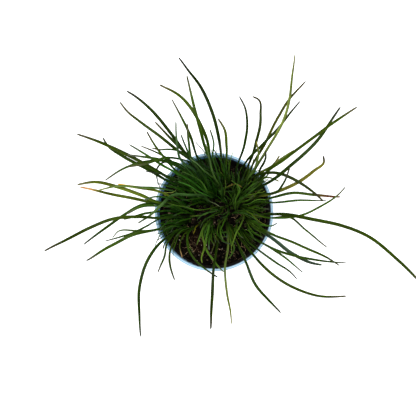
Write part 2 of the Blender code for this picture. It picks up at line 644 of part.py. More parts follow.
def make_leaf(name, path, widths, folder):
    """A loft of keeled sections: a flat upper face over a low ridge."""
    sides, ups = blade_frames(path)
    half = widths[:, None] / 2
    sections = np.stack([path + sides * half, path - sides * half, path - ups * 2 * half * KEEL], axis=1)
    shape = bmesh.new()
    rings = [[shape.verts.new(corner) for corner in section] for section in sections]
    for ring, after in zip(rings, rings[1:]):
        for corner in range(3):
            following = (corner + 1) % 3
            shape.faces.new((ring[corner], ring[following], after[following]))
            shape.faces.new((ring[corner], after[following], after[corner]))
    shape.faces.new(reversed(rings[0]))
    shape.faces.new(rings[-1])
    bmesh.ops.recalc_face_normals(shape, faces=shape.faces)
    mesh = bpy.data.meshes.new(name)
    shape.to_mesh(mesh)
    shape.free()
    made = bpy.data.objects.new(name, mesh)
    folder.objects.link(made)
    return made


def make_stem(name, foot, folder):
    surface = float(soil_height(foot[0], foot[1]))
    mesh = bpy.data.meshes.new(name)
    shape = bmesh.new()
    bmesh.ops.create_cone(shape, cap_ends=True, segments=STEM_SIDES, radius1=STEM_FOOT_RADIUS,
                          radius2=STEM_TOP_RADIUS, depth=STEM_DEPTH + STEM_RISE)
    shape.to_mesh(mesh)
    shape.free()
    made = bpy.data.objects.new(name, mesh)
    made.location = (foot[0], foot[1], surface + (STEM_RISE - STEM_DEPTH) / 2)
    folder.objects.link(made)
    return made


def make_shoots(parts, cutters, feet):
    paths, widths, owners, stems = [], [], [], []
    for number, (foot, (_, leaves)) in enumerate(zip(feet, SHOOTS.values())):
        surface = float(soil_height(foot[0], foot[1]))
        stems.append([(*foot, surface - STEM_DEPTH), (*foot, surface + STEM_RISE)])
        for width, foot_slope, tip_slope, *route in leaves:
            paths.append(leaf_path(foot, (foot_slope, tip_slope), route))
            widths.append(leaf_widths(width / 1000))
            owners.append(number)
    paths = np.array(paths)
    widths = np.array(widths)
    short = np.linalg.norm(np.diff(paths, axis=1), axis=2).sum(axis=1) < SHORT_LEAF
    paths = settle(paths, widths / 2 + LEAF_CLEARANCE / 2, np.array(owners), np.array(stems),
                   STEM_FOOT_RADIUS + LEAF_CLEARANCE / 2, short)
    leaf_number = 0
    for number, (name, (_, leaves)) in enumerate(SHOOTS.items()):
        stem = make_stem(name, feet[number], parts)
        green = 0.20 + 0.05 * (number % 4)
        stem.data.materials.append(material(f"{name} leaf green", (0.09, green, 0.03), 0.5))
        for count in range(len(leaves)):
            stride = 2 if short[leaf_number] else 1
            leaf = make_leaf(f"{name} leaf {count + 1}", paths[leaf_number, ::stride],
                             widths[leaf_number, ::stride], cutters)
            hide_as_cutter(leaf)
            add_boolean(stem, leaf, "UNION")
            leaf_number += 1
        merge_flat_faces(stem)


def main():
    clear_scene()
    parts = collection("potted garlic chives")
    cutters = collection("cutters")
    foot_points = [foot for foot, _ in SHOOTS.values()]
    feet = seen_at(foot_points, np.full(len(foot_points), SOIL_LEVEL))
    make_pot(parts, cutters)
    make_soil(parts, cutters, feet)
    make_shoots(parts, cutters, feet)


main()
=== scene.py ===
import math

import bmesh
import bpy
import numpy as np
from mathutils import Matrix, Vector


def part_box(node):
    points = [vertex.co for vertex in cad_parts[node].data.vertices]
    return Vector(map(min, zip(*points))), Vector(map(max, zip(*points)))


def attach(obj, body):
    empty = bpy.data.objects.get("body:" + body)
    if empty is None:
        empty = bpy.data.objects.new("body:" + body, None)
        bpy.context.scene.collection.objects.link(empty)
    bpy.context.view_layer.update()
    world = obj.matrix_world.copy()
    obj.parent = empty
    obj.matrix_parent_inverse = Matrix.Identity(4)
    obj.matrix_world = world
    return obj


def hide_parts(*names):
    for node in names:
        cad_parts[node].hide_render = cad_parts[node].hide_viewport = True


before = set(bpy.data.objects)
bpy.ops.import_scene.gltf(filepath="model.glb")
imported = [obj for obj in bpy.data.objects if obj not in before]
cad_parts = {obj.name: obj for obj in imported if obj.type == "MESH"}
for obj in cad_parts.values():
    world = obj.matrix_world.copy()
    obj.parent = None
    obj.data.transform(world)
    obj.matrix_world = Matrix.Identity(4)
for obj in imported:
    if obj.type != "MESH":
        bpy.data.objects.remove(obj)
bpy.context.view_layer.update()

# A pot of garlic chives, seen from straight above: a pale blue pot, dark crumbly soil, and long flat leaves.
# Lengths are in metres, +Z up, with the origin in the middle of the pot's underside.

potLow, potHigh = (np.array(corner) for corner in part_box("pot"))
rimDiameter = potHigh[0] - potLow[0]
potHeight = potHigh[2]
print("frame loaded,", len(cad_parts), "pieces, pot", round(rimDiameter, 4), "across")


# The view from above that the leaves' routes are read in: 416 points across, with the eye over its middle.

view = {
    "framePoints": 416.0,
    "rimPoints": 119.0,  # the rim's width in the view
    "potAt": (214.0, 212.0),
    "eyeAt": (208.0, 208.0),
    "eyeHeight": 0.90,  # over the rim
}
scale = rimDiameter / view["rimPoints"]
eyeX = (view["eyeAt"][0] - view["potAt"][0]) * scale
eyeY = (view["potAt"][1] - view["eyeAt"][1]) * scale


def newObject(name, data):
    made = bpy.data.objects.new(name, data)
    bpy.context.scene.collection.objects.link(made)
    return made


def makeCamera():
    data = bpy.data.cameras.new("camera")
    data.sensor_fit = "HORIZONTAL"
    data.angle = 2 * math.atan(view["framePoints"] * scale / 2 / view["eyeHeight"])
    data.clip_start = 0.01
    camera = newObject("camera", data)
    camera.location = (eyeX, eyeY, potHeight + view["eyeHeight"])
    bpy.context.scene.camera = camera


makeCamera()
print("camera placed")


# Meshes from arrays

def ramp(value, low, high):
    # 0 up to low, 1 from high on, and straight between
    return np.clip((value - low) / (high - low), 0, 1)


def smoothStep(value, low, high):
    # from 0 at low to 1 at high, as 3t^2 - 2t^3
    t = ramp(value, low, high)
    return t * t * (3 - 2 * t)


def unit(vectors):
    return vectors / np.linalg.norm(vectors, axis=-1, keepdims=True)


def circle(count):
    # that many angles, evenly round
    return np.linspace(0, math.tau, count, endpoint=False)


noiseHash = {
    "axes": (73856093, 19349663, 83492791),
    "seed": 7919,
    "mix": 1274126177,
}


def latticeNoise(points, cell, seed):
    # random values on a grid of that cell size, blended smoothly between the grid's corners; 0 to 1
    place = np.asarray(points, dtype=float) / cell
    low = np.floor(place).astype(np.int64)
    blend = smoothStep(place - low, 0, 1)
    total = np.zeros(len(place))
    for corner in np.ndindex(*(2,) * place.shape[1]):
        mix = np.full(len(place), seed * noiseHash["seed"], dtype=np.int64)
        share = np.ones(len(place))
        for axis, step in enumerate(corner):
            mix ^= (low[:, axis] + step) * noiseHash["axes"][axis]
            share *= blend[:, axis] if step else 1 - blend[:, axis]
        mix = ((mix ^ (mix >> 13)) * noiseHash["mix"]) & 0xFFFFFFFF
        total += share * ((mix ^ (mix >> 16)) & 0xFFFF) / 0xFFFF
    return total


def tubeFaces(rows, columns, start):
    # quads between neighbouring rings of a closed tube, and a fan on each end point
    ring = start + np.arange(rows * columns).reshape(rows, columns)
    after = np.roll(ring, -1, axis=1)
    quads = np.stack([ring[:-1], after[:-1], after[1:], ring[1:]], axis=-1).reshape(-1, 4)
    first = start + rows * columns
    fanStart = np.column_stack([after[0], ring[0], np.full(columns, first)])
    fanEnd = np.column_stack([ring[-1], after[-1], np.full(columns, first + 1)])
    return quads.tolist() + fanStart.tolist() + fanEnd.tolist()


def tubeCorners(rings):
    # all ring points, then the middle of the first ring and of the last
    return np.vstack([rings.reshape(-1, 3), rings[0].mean(axis=0), rings[-1].mean(axis=0)])


def joinTubes(tubes):
    # the corners and the faces of all tubes, in one list of each
    corners, faces = [], []
    for rings in tubes:
        faces += tubeFaces(*rings.shape[:2], sum(len(part) for part in corners))
        corners.append(tubeCorners(rings))
    return np.vstack(corners), faces


def makePiece(name, corners, faces, tint=None, place=None, smooth=True):
    # tint holds a colour for each corner, and place where on its leaf the corner is
    mesh = bpy.data.meshes.new(name)
    mesh.from_pydata(np.asarray(corners).tolist(), [], faces)
    if tint is not None:
        layer = mesh.attributes.new("tint", "FLOAT_COLOR", "POINT")
        opaque = np.column_stack([tint, np.ones(len(tint))])
        layer.data.foreach_set("color", opaque.astype(np.float32).ravel())
    if place is not None:
        layer = mesh.attributes.new("place", "FLOAT_VECTOR", "POINT")
        layer.data.foreach_set("vector", place.astype(np.float32).ravel())
    mesh.polygons.foreach_set("use_smooth", np.full(len(mesh.polygons), smooth))
    mesh.update()
    return newObject(name, mesh)


# Materials

patterns = {
    "slowShare": 0.6,  # of the mottle; the rest is the quicker noise
    "quicker": 5.3,
    "spread": (0.3, 0.7),  # the noise's values that become Low and High
    "fleckEdge": 0.05,
    "veinStretch": (2.6, 38.0, 60.0),  # of the streaks' noise: across, along, and from leaf to leaf
    "veinNoise": 2.2,
}


def addNode(tree, kind, inputs, **settings):
    # inputs has a number, a colour or another node's output for each socket's name or number
    node = tree.nodes.new(kind)
    for setting, value in settings.items():
        setattr(node, setting, value)
    for label, value in inputs.items():
        if isinstance(value, (int, float)):
            node.inputs[label].default_value = value
        elif isinstance(value, tuple):
            node.inputs[label].default_value = (*value, 1.0)
        else:
            tree.links.new(value, node.inputs[label])
    return node


def addMath(tree, operation, *values):
    return addNode(tree, "ShaderNodeMath", dict(enumerate(values)), operation=operation).outputs[0]


def addNoise(tree, vector, size, detail):
    return addNode(tree, "ShaderNodeTexNoise", {"Vector": vector, "Scale": size, "Detail": detail}).outputs["Fac"]


def addRange(tree, value, fromLow, fromHigh, toLow, toHigh):
    amounts = dict(enumerate((value, fromLow, fromHigh, toLow, toHigh)))
    return addNode(tree, "ShaderNodeMapRange", amounts, interpolation_type="SMOOTHSTEP").outputs[0]


def addMix(tree, factor, first, second):
    # a Mix node's colours are its inputs 6 and 7 and its output 2
    return addNode(tree, "ShaderNodeMix", {0: factor, 6: first, 7: second}, data_type="RGBA").outputs[2]


def addScale(tree, colour, factor):
    return addNode(tree, "ShaderNodeVectorMath", {0: colour, "Scale": factor}, operation="SCALE").outputs[0]


def addGroup(tree, group, **values):
    return addNode(tree, "ShaderNodeGroup", values, node_tree=group).outputs


def addBump(tree, shader, height, strength, distance):
    bump = addNode(tree, "ShaderNodeBump", {"Strength": strength, "Distance": distance, "Height": height})
    tree.links.new(bump.outputs[0], shader.inputs["Normal"])


def readAttribute(tree, label, output):
    return addNode(tree, "ShaderNodeAttribute", {}, attribute_name=label).outputs[output]


def objectPlace(tree):
    return tree.nodes.new("ShaderNodeTexCoord").outputs["Object"]


def startMaterial(name, **plain):
    made = bpy.data.materials.new(name)
    made.use_nodes = True
    shader = made.node_tree.nodes["Principled BSDF"]
    for label, value in plain.items():
        shader.inputs[label.replace("_", " ")].default_value = value
    return made, made.node_tree, shader


def nodeGroup(name, inputs, outputs):
    # the sockets called Vector and Place hold vectors, and all others hold numbers
    group = bpy.data.node_groups.new(name, "ShaderNodeTree")
    for way, labels in (("INPUT", inputs), ("OUTPUT", outputs)):
        for label in labels:
            kind = "NodeSocketVector" if label in ("Vector", "Place") else "NodeSocketFloat"
            group.interface.new_socket(label, in_out=way, socket_type=kind)
    return group, group.nodes.new("NodeGroupInput").outputs, group.nodes.new("NodeGroupOutput").inputs


def makeMottle():
    # slow and quick noise, together a soft patchiness between Low and High
    group, entry, leave = nodeGroup("mottle", ("Vector", "Size", "Low", "High"), ("Value",))
    slow = addNoise(group, entry["Vector"], entry["Size"], 2.0)
    quick = addNoise(group, entry["Vector"], addMath(group, "MULTIPLY", entry["Size"], patterns["quicker"]), 4.0)
    slow = addMath(group, "MULTIPLY", slow, patterns["slowShare"])
    both = addMath(group, "MULTIPLY_ADD", quick, 1 - patterns["slowShare"], slow)
    group.links.new(addRange(group, both, *patterns["spread"], entry["Low"], entry["High"]), leave["Value"])
    return group


def makeFlecks():
    # small sharp-edged spots where the noise passes 1 - Amount
    group, entry, leave = nodeGroup("flecks", ("Vector", "Size", "Amount"), ("Mask",))
    grain = addNoise(group, entry["Vector"], entry["Size"], 6.0)
    edge = addMath(group, "SUBTRACT", 1.0, entry["Amount"])
    mask = addRange(group, grain, edge, addMath(group, "ADD", edge, patterns["fleckEdge"]), 0.0, 1.0)
    group.links.new(mask, leave["Mask"])
    return group


def makeVeins():
    # fine ridges along a leaf: a cosine across it, broken up by noise stretched along it
    group, entry, leave = nodeGroup("veins", ("Place", "Count"), ("Height", "Streak"))
    parts = addNode(group, "ShaderNodeSeparateXYZ", {0: entry["Place"]}).outputs
    turn = addMath(group, "MULTIPLY", addMath(group, "MULTIPLY", parts[0], entry["Count"]), math.pi)
    ridge = addMath(group, "MULTIPLY_ADD", addMath(group, "COSINE", turn), 0.5, 0.5)
    stretched = [addMath(group, "MULTIPLY", part, times) for part, times in zip(parts, patterns["veinStretch"])]
    spread = addNode(group, "ShaderNodeCombineXYZ", dict(enumerate(stretched))).outputs[0]
    streak = addNoise(group, spread, patterns["veinNoise"], 3.0)
    height = addMath(group, "MULTIPLY_ADD", streak, 0.5, addMath(group, "MULTIPLY", ridge, 0.5))
    group.links.new(height, leave["Height"])
    group.links.new(streak, leave["Streak"])
    return group


mottle = makeMottle()
flecks = makeFlecks()
veins = makeVeins()


# The soil's surface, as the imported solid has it

soilShape = {
    "level": 0.086,
    "lean": 0.028,  # rises to the front right
    "waves": ((0.0008, 118.0, 53.0, 0.6), (0.0006, -71.0, 160.0, 1.9)),  # height, turns across and up, start
    "edgeFrom": 0.034,
    "edgeDrop": 0.0016,
    "lumps": ((0.0070, 0.0022), (0.0028, 0.0013), (0.0012, 0.0008), (0.0006, 0.0003)),  # size and height
    "lumpSeed": 11,
    "rings": 120,
    "middle": 0.012,  # the smallest ring's share of the edge's radius
    "lowMiddle": 0.3,  # the same on the pot's floor
    "around": 280,
    "downFrom": 0.070,
    "downSteps": 8,
    "bottom": 0.0025,
    "wallGap": 0.0006,
    "tintSpread": 0.15,
    "roughness": 0.95,
    "bump": 0.9,
    "seed": 7,
}


def soilHeight(x, y):
    # the level, plus the lean times (x - y), plus a sine for each wave
    waves = sum(rise * np.sin(across * x + up * y + start) for rise, across, up, start in soilShape["waves"])
    return soilShape["level"] + soilShape["lean"] * (x - y) + waves


def lumpyHeight(points):
    # the soil's surface, lower at the pot's wall, with noise of several sizes added about its middle
    reach = np.linalg.norm(points, axis=1)
    drop = ramp(reach, soilShape["edgeFrom"], rimDiameter / 2)
    height = soilHeight(points[:, 0], points[:, 1]) - soilShape["edgeDrop"] * drop
    for number, (size, rise) in enumerate(soilShape["lumps"]):
        height += (latticeNoise(points, size, soilShape["lumpSeed"] + number) - 0.5) * rise
    return height


# The leaves' routes

leafShape = {
    "cadStations": 9,
    "shortLeaf": 0.095,  # a leaf below this length has only every second station
    "stations": 54,
    "tipStations": 9,
    "tipStart": 0.975,
    "around": 14,
    "start": 0.003,  # the leaf's first point over the soil
    "packedFoot": (0.72, 0.10),  # the width at the foot, and the share of the leaf where it is full
    "drawnFoot": 0.60,  # of the width, over the pot
    "frontFoot": 0.76,  # the same in front
    "softFoot": 0.96,  # and for the soft leaves, which lie open over the others
    "widening": (0.036, 0.066),  # from the pot's axis: where a drawn leaf widens to its full width
    "drawnTaper": (0.70, 0.54),  # as packedTaper
    "drawnWidth": 1.13,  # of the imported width, beyond the pot
    "taperPower": 1.6,
    "packedTaper": (0.6, 0.38),  # where the leaf begins to narrow, and the share left at its tip
    "slopePower": 1.15,
    "thickness": 0.32,  # of the width
    "channel": 0.07,  # the sag of the blade's middle, of the width
    "footChannel": 0.42,
    "openBy": 0.16,  # the share of the leaf where the foot's channel has opened
    "levelBy": (0.10, 0.50),
    "twist": 0.55,
    "innerTwist": 1.25,  # for a leaf whose tip is within innerReach of the axis
    "innerReach": 0.058,
    "sway": 0.0002,
    "swayTurns": (2.0, 4.0),
    "swayBy": (0.2, 0.6),
    "footTwist": 0.35,  # the share of the twist that the foot has already
    "waves": (1.0, 2.2),
    "waveTwist": 0.14,
    "oldTwist": 1.3,  # for withered leaves
    "oldChannel": 2.6,
    "edgePower": 2.6,
    "tipLeast": 0.004,
    "headingAt": 0.375,  # the share of the leaf where its heading is read
    "slopeSteps": 121,
    "routeSteps": 24,  # between two of the route's points
    "routeRounds": 5,
    "seed": 41,
}

settleShape = {
    "clearance": 0.0006,
    "reach": 0.002,  # only pieces this near at the start are watched
    "rounds": 600,
    "push": 0.7,  # the share of the overlap that one round takes away
    "spread": 0.2,  # the share of a move that goes to each neighbouring station
    "loosening": 0.45,  # how much looser each station is than the one below it, up to 1
    "joined": 2,  # up to this station leaves of one shoot may touch
}

stemShape = {
    "depth": 0.007,
    "rise": 0.011,
    "footRadius": 0.0019,
    "topRadius": 0.0014,
    "around": 16,
    "low": (0.13, 0.14, 0.06),
    "high": (0.018, 0.042, 0.003),
    "greenBy": (0.0005, 0.010),
    "ribs": 3,
    "ribDepth": 0.05,  # of the radius
    "ribsBy": 0.008,
    "profile": ((-0.0060, 0.62), (-0.0052, 0.98), (-0.0020, 1.0), (0.0002, 1.06), (0.0018, 1.0), (0.0040, 0.98),
                (0.0060, 0.94), (0.0076, 0.86), (0.0090, 0.72), (0.0101, 0.54), (0.0109, 0.34), (0.0114, 0.14)),
}


def seenAt(points, heights):
    # (point - eye) times the scale, drawn in towards the line under the eye by the height over the rim
    points = np.asarray(points, dtype=float)
    shrink = 1 - (heights - potHeight) / view["eyeHeight"]
    x = eyeX + (points[:, 0] - view["eyeAt"][0]) * scale * shrink
    y = eyeY + (view["eyeAt"][1] - points[:, 1]) * scale * shrink
    return np.column_stack([x, y])


def throughPoints(points, knots, at):
    # cubic pieces between the points, with the chord between a point's neighbours as its slope
    slopes = np.gradient(points, knots, axis=0)
    piece = np.clip(np.searchsorted(knots, at, side="right") - 1, 0, len(knots) - 2)
    span = (knots[piece + 1] - knots[piece])[:, None]
    t = (at - knots[piece])[:, None] / span
    return ((2 * t**3 - 3 * t**2 + 1) * points[piece] + (t**3 - 2 * t**2 + t) * span * slopes[piece]
            + (3 * t**2 - 2 * t**3) * points[piece + 1] + (t**3 - t**2) * span * slopes[piece + 1])


def travelled(points):
    # how far along the path each of its points is
    return np.concatenate([[0], np.cumsum(np.linalg.norm(np.diff(points, axis=0), axis=1))])


def leafPath(foot, slopes, route, stations):
    # the route seen from above, raised by a slope that turns from foot to tip as share^slopePower
    share = np.linspace(0, 1, leafShape["slopeSteps"])
    slope = np.radians(slopes[0] + (slopes[1] - slopes[0]) * share**leafShape["slopePower"])
    forward, upward = (np.concatenate([[0], np.cumsum((part(slope[1:]) + part(slope[:-1])) / 2 * share[1])])
                       for part in (np.cos, np.sin))
    steps = leafShape["routeSteps"]
    base = soilHeight(*foot) + leafShape["start"]
    heights = np.full(len(route), potHeight)
    for _ in range(leafShape["routeRounds"]):
        plan = np.vstack([foot, seenAt(route, heights)])
        knots = travelled(plan)
        at = [np.linspace(low, high, steps, endpoint=False) for low, high in zip(knots, knots[1:])]
        curve = throughPoints(plan, knots, np.concatenate(at + [knots[-1:]]))
        travel = travelled(curve)
        length = travel[-1] / forward[-1]
        heights = base + length * np.interp(travel[steps::steps], forward * length, upward)
    reach = np.interp(stations, share, forward) * length
    return np.column_stack([np.interp(reach, travel, curve[:, 0]), np.interp(reach, travel, curve[:, 1]),
                            base + length * np.interp(stations, share, upward)])


def packedWidths(width, share):
    # narrow in the stem, even along the blade, then drawn in by the taper's power to a narrow tip
    foot, by = leafShape["packedFoot"]
    return width * (foot + (1 - foot) * ramp(share, 0, by)) * taperAt(share, *leafShape["packedTaper"])


def taperAt(share, begins, tip):
    # 1 up to where the taper begins, then less by a power of the way from there to the tip
    return 1 - (1 - tip) * ramp(share, begins, 1)**leafShape["taperPower"]


def straightPieces(paths, stems):
    # where each straight piece of the leaves starts and ends, and then each stem
    start = np.concatenate([paths[:, :-1].reshape(-1, 3), stems[:, 0]])
    end = np.concatenate([paths[:, 1:].reshape(-1, 3), stems[:, 1]])
    return start, end


def nearestShares(a0, a1, b0, b1):
    # the closest points of two straight pieces: the least distance between the lines, held to the pieces' ends
    a, b, between = a1 - a0, b1 - b0, a0 - b0
    aa, bb, ab = (a * a).sum(axis=1), (b * b).sum(axis=1), (a * b).sum(axis=1)
    ac, bc = (a * between).sum(axis=1), (b * between).sum(axis=1)
    shareA = np.clip((ab * bc - ac * bb) / np.maximum(aa * bb - ab * ab, 1e-18), 0, 1)
    shareB = np.clip((ab * shareA + bc) / bb, 0, 1)
    return np.clip((ab * shareB - ac) / aa, 0, 1), shareB


def straighten(paths, short):
    # the stations that a short leaf lacks lie midway between its own
    paths[short, 1::2] = (paths[short, :-1:2] + paths[short, 2::2]) / 2
    return paths


def settleLeaves(paths, radii, owners, stems, stemRadius, short):
    # crossing leaves push one another apart until each pair is as far apart as it is thick
    paths = straighten(paths.copy(), short)
    leaves, pieces = len(paths), paths.shape[1] - 1
    owner = np.concatenate([np.repeat(owners, pieces), np.arange(len(stems))])
    station = np.concatenate([np.tile(np.arange(pieces), leaves), np.zeros(len(stems), dtype=int)])
    leaf = np.concatenate([np.repeat(np.arange(leaves), pieces), np.full(len(stems), -1)])
    thick = np.concatenate([np.maximum(radii[:, :-1], radii[:, 1:]).ravel(), np.full(len(stems), stemRadius)])
    first, second = np.triu_indices(len(owner), 1)
    start, end = straightPieces(paths, stems)
    low = np.minimum(start, end) - thick[:, None] - settleShape["reach"]
    high = np.maximum(start, end) + thick[:, None] + settleShape["reach"]
    keep = leaf[first] != leaf[second]
    for axis in range(3):
        keep &= (low[first, axis] <= high[second, axis]) & (low[second, axis] <= high[first, axis])
    apart = (leaf[second] >= 0) & (np.minimum(station[first], station[second]) > settleShape["joined"])
    keep &= (owner[first] != owner[second]) | apart
    first, second = first[keep], second[keep]
    loose = np.clip(np.arange(pieces + 1) * settleShape["loosening"], 0, 1)[None, :, None]
    for _ in range(settleShape["rounds"]):
        start, end = straightPieces(paths, stems)
        shares = nearestShares(start[first], end[first], start[second], end[second])
        here = start[first] + (end[first] - start[first]) * shares[0][:, None]
        there = start[second] + (end[second] - start[second]) * shares[1][:, None]
        distance = np.linalg.norm(here - there, axis=1)
        lack = thick[first] + thick[second] - distance
        touching = lack > 0
        if not touching.any():
            break
        direction = (here - there)[touching] / np.maximum(distance[touching], 1e-9)[:, None]
        push = direction * lack[touching, None] * settleShape["push"]
        move = np.zeros_like(paths)
        for side, share, sign in ((first, shares[0], 1), (second, shares[1], -1)):
            which = leaf[side[touching]]
            grown = which >= 0
            at = station[side[touching]][grown]
            part = share[touching][grown, None]
            np.add.at(move, (which[grown], at), sign * push[grown] * (1 - part))
            np.add.at(move, (which[grown], at + 1), sign * push[grown] * part)
        padded = np.concatenate([move[:, :1], move, move[:, -1:]], axis=1)
        beside = padded[:, :-2] + padded[:, 2:]
        spread = settleShape["spread"]
        paths = straighten(paths + loose * (spread * beside + (1 - 2 * spread) * move), short)
    return paths


# Each shoot has its foot in the view, then its leaves. A leaf is its kind, its width in millimetres, its slope in
# degrees at the foot and at the tip, and the points it passes over on its way to the tip.

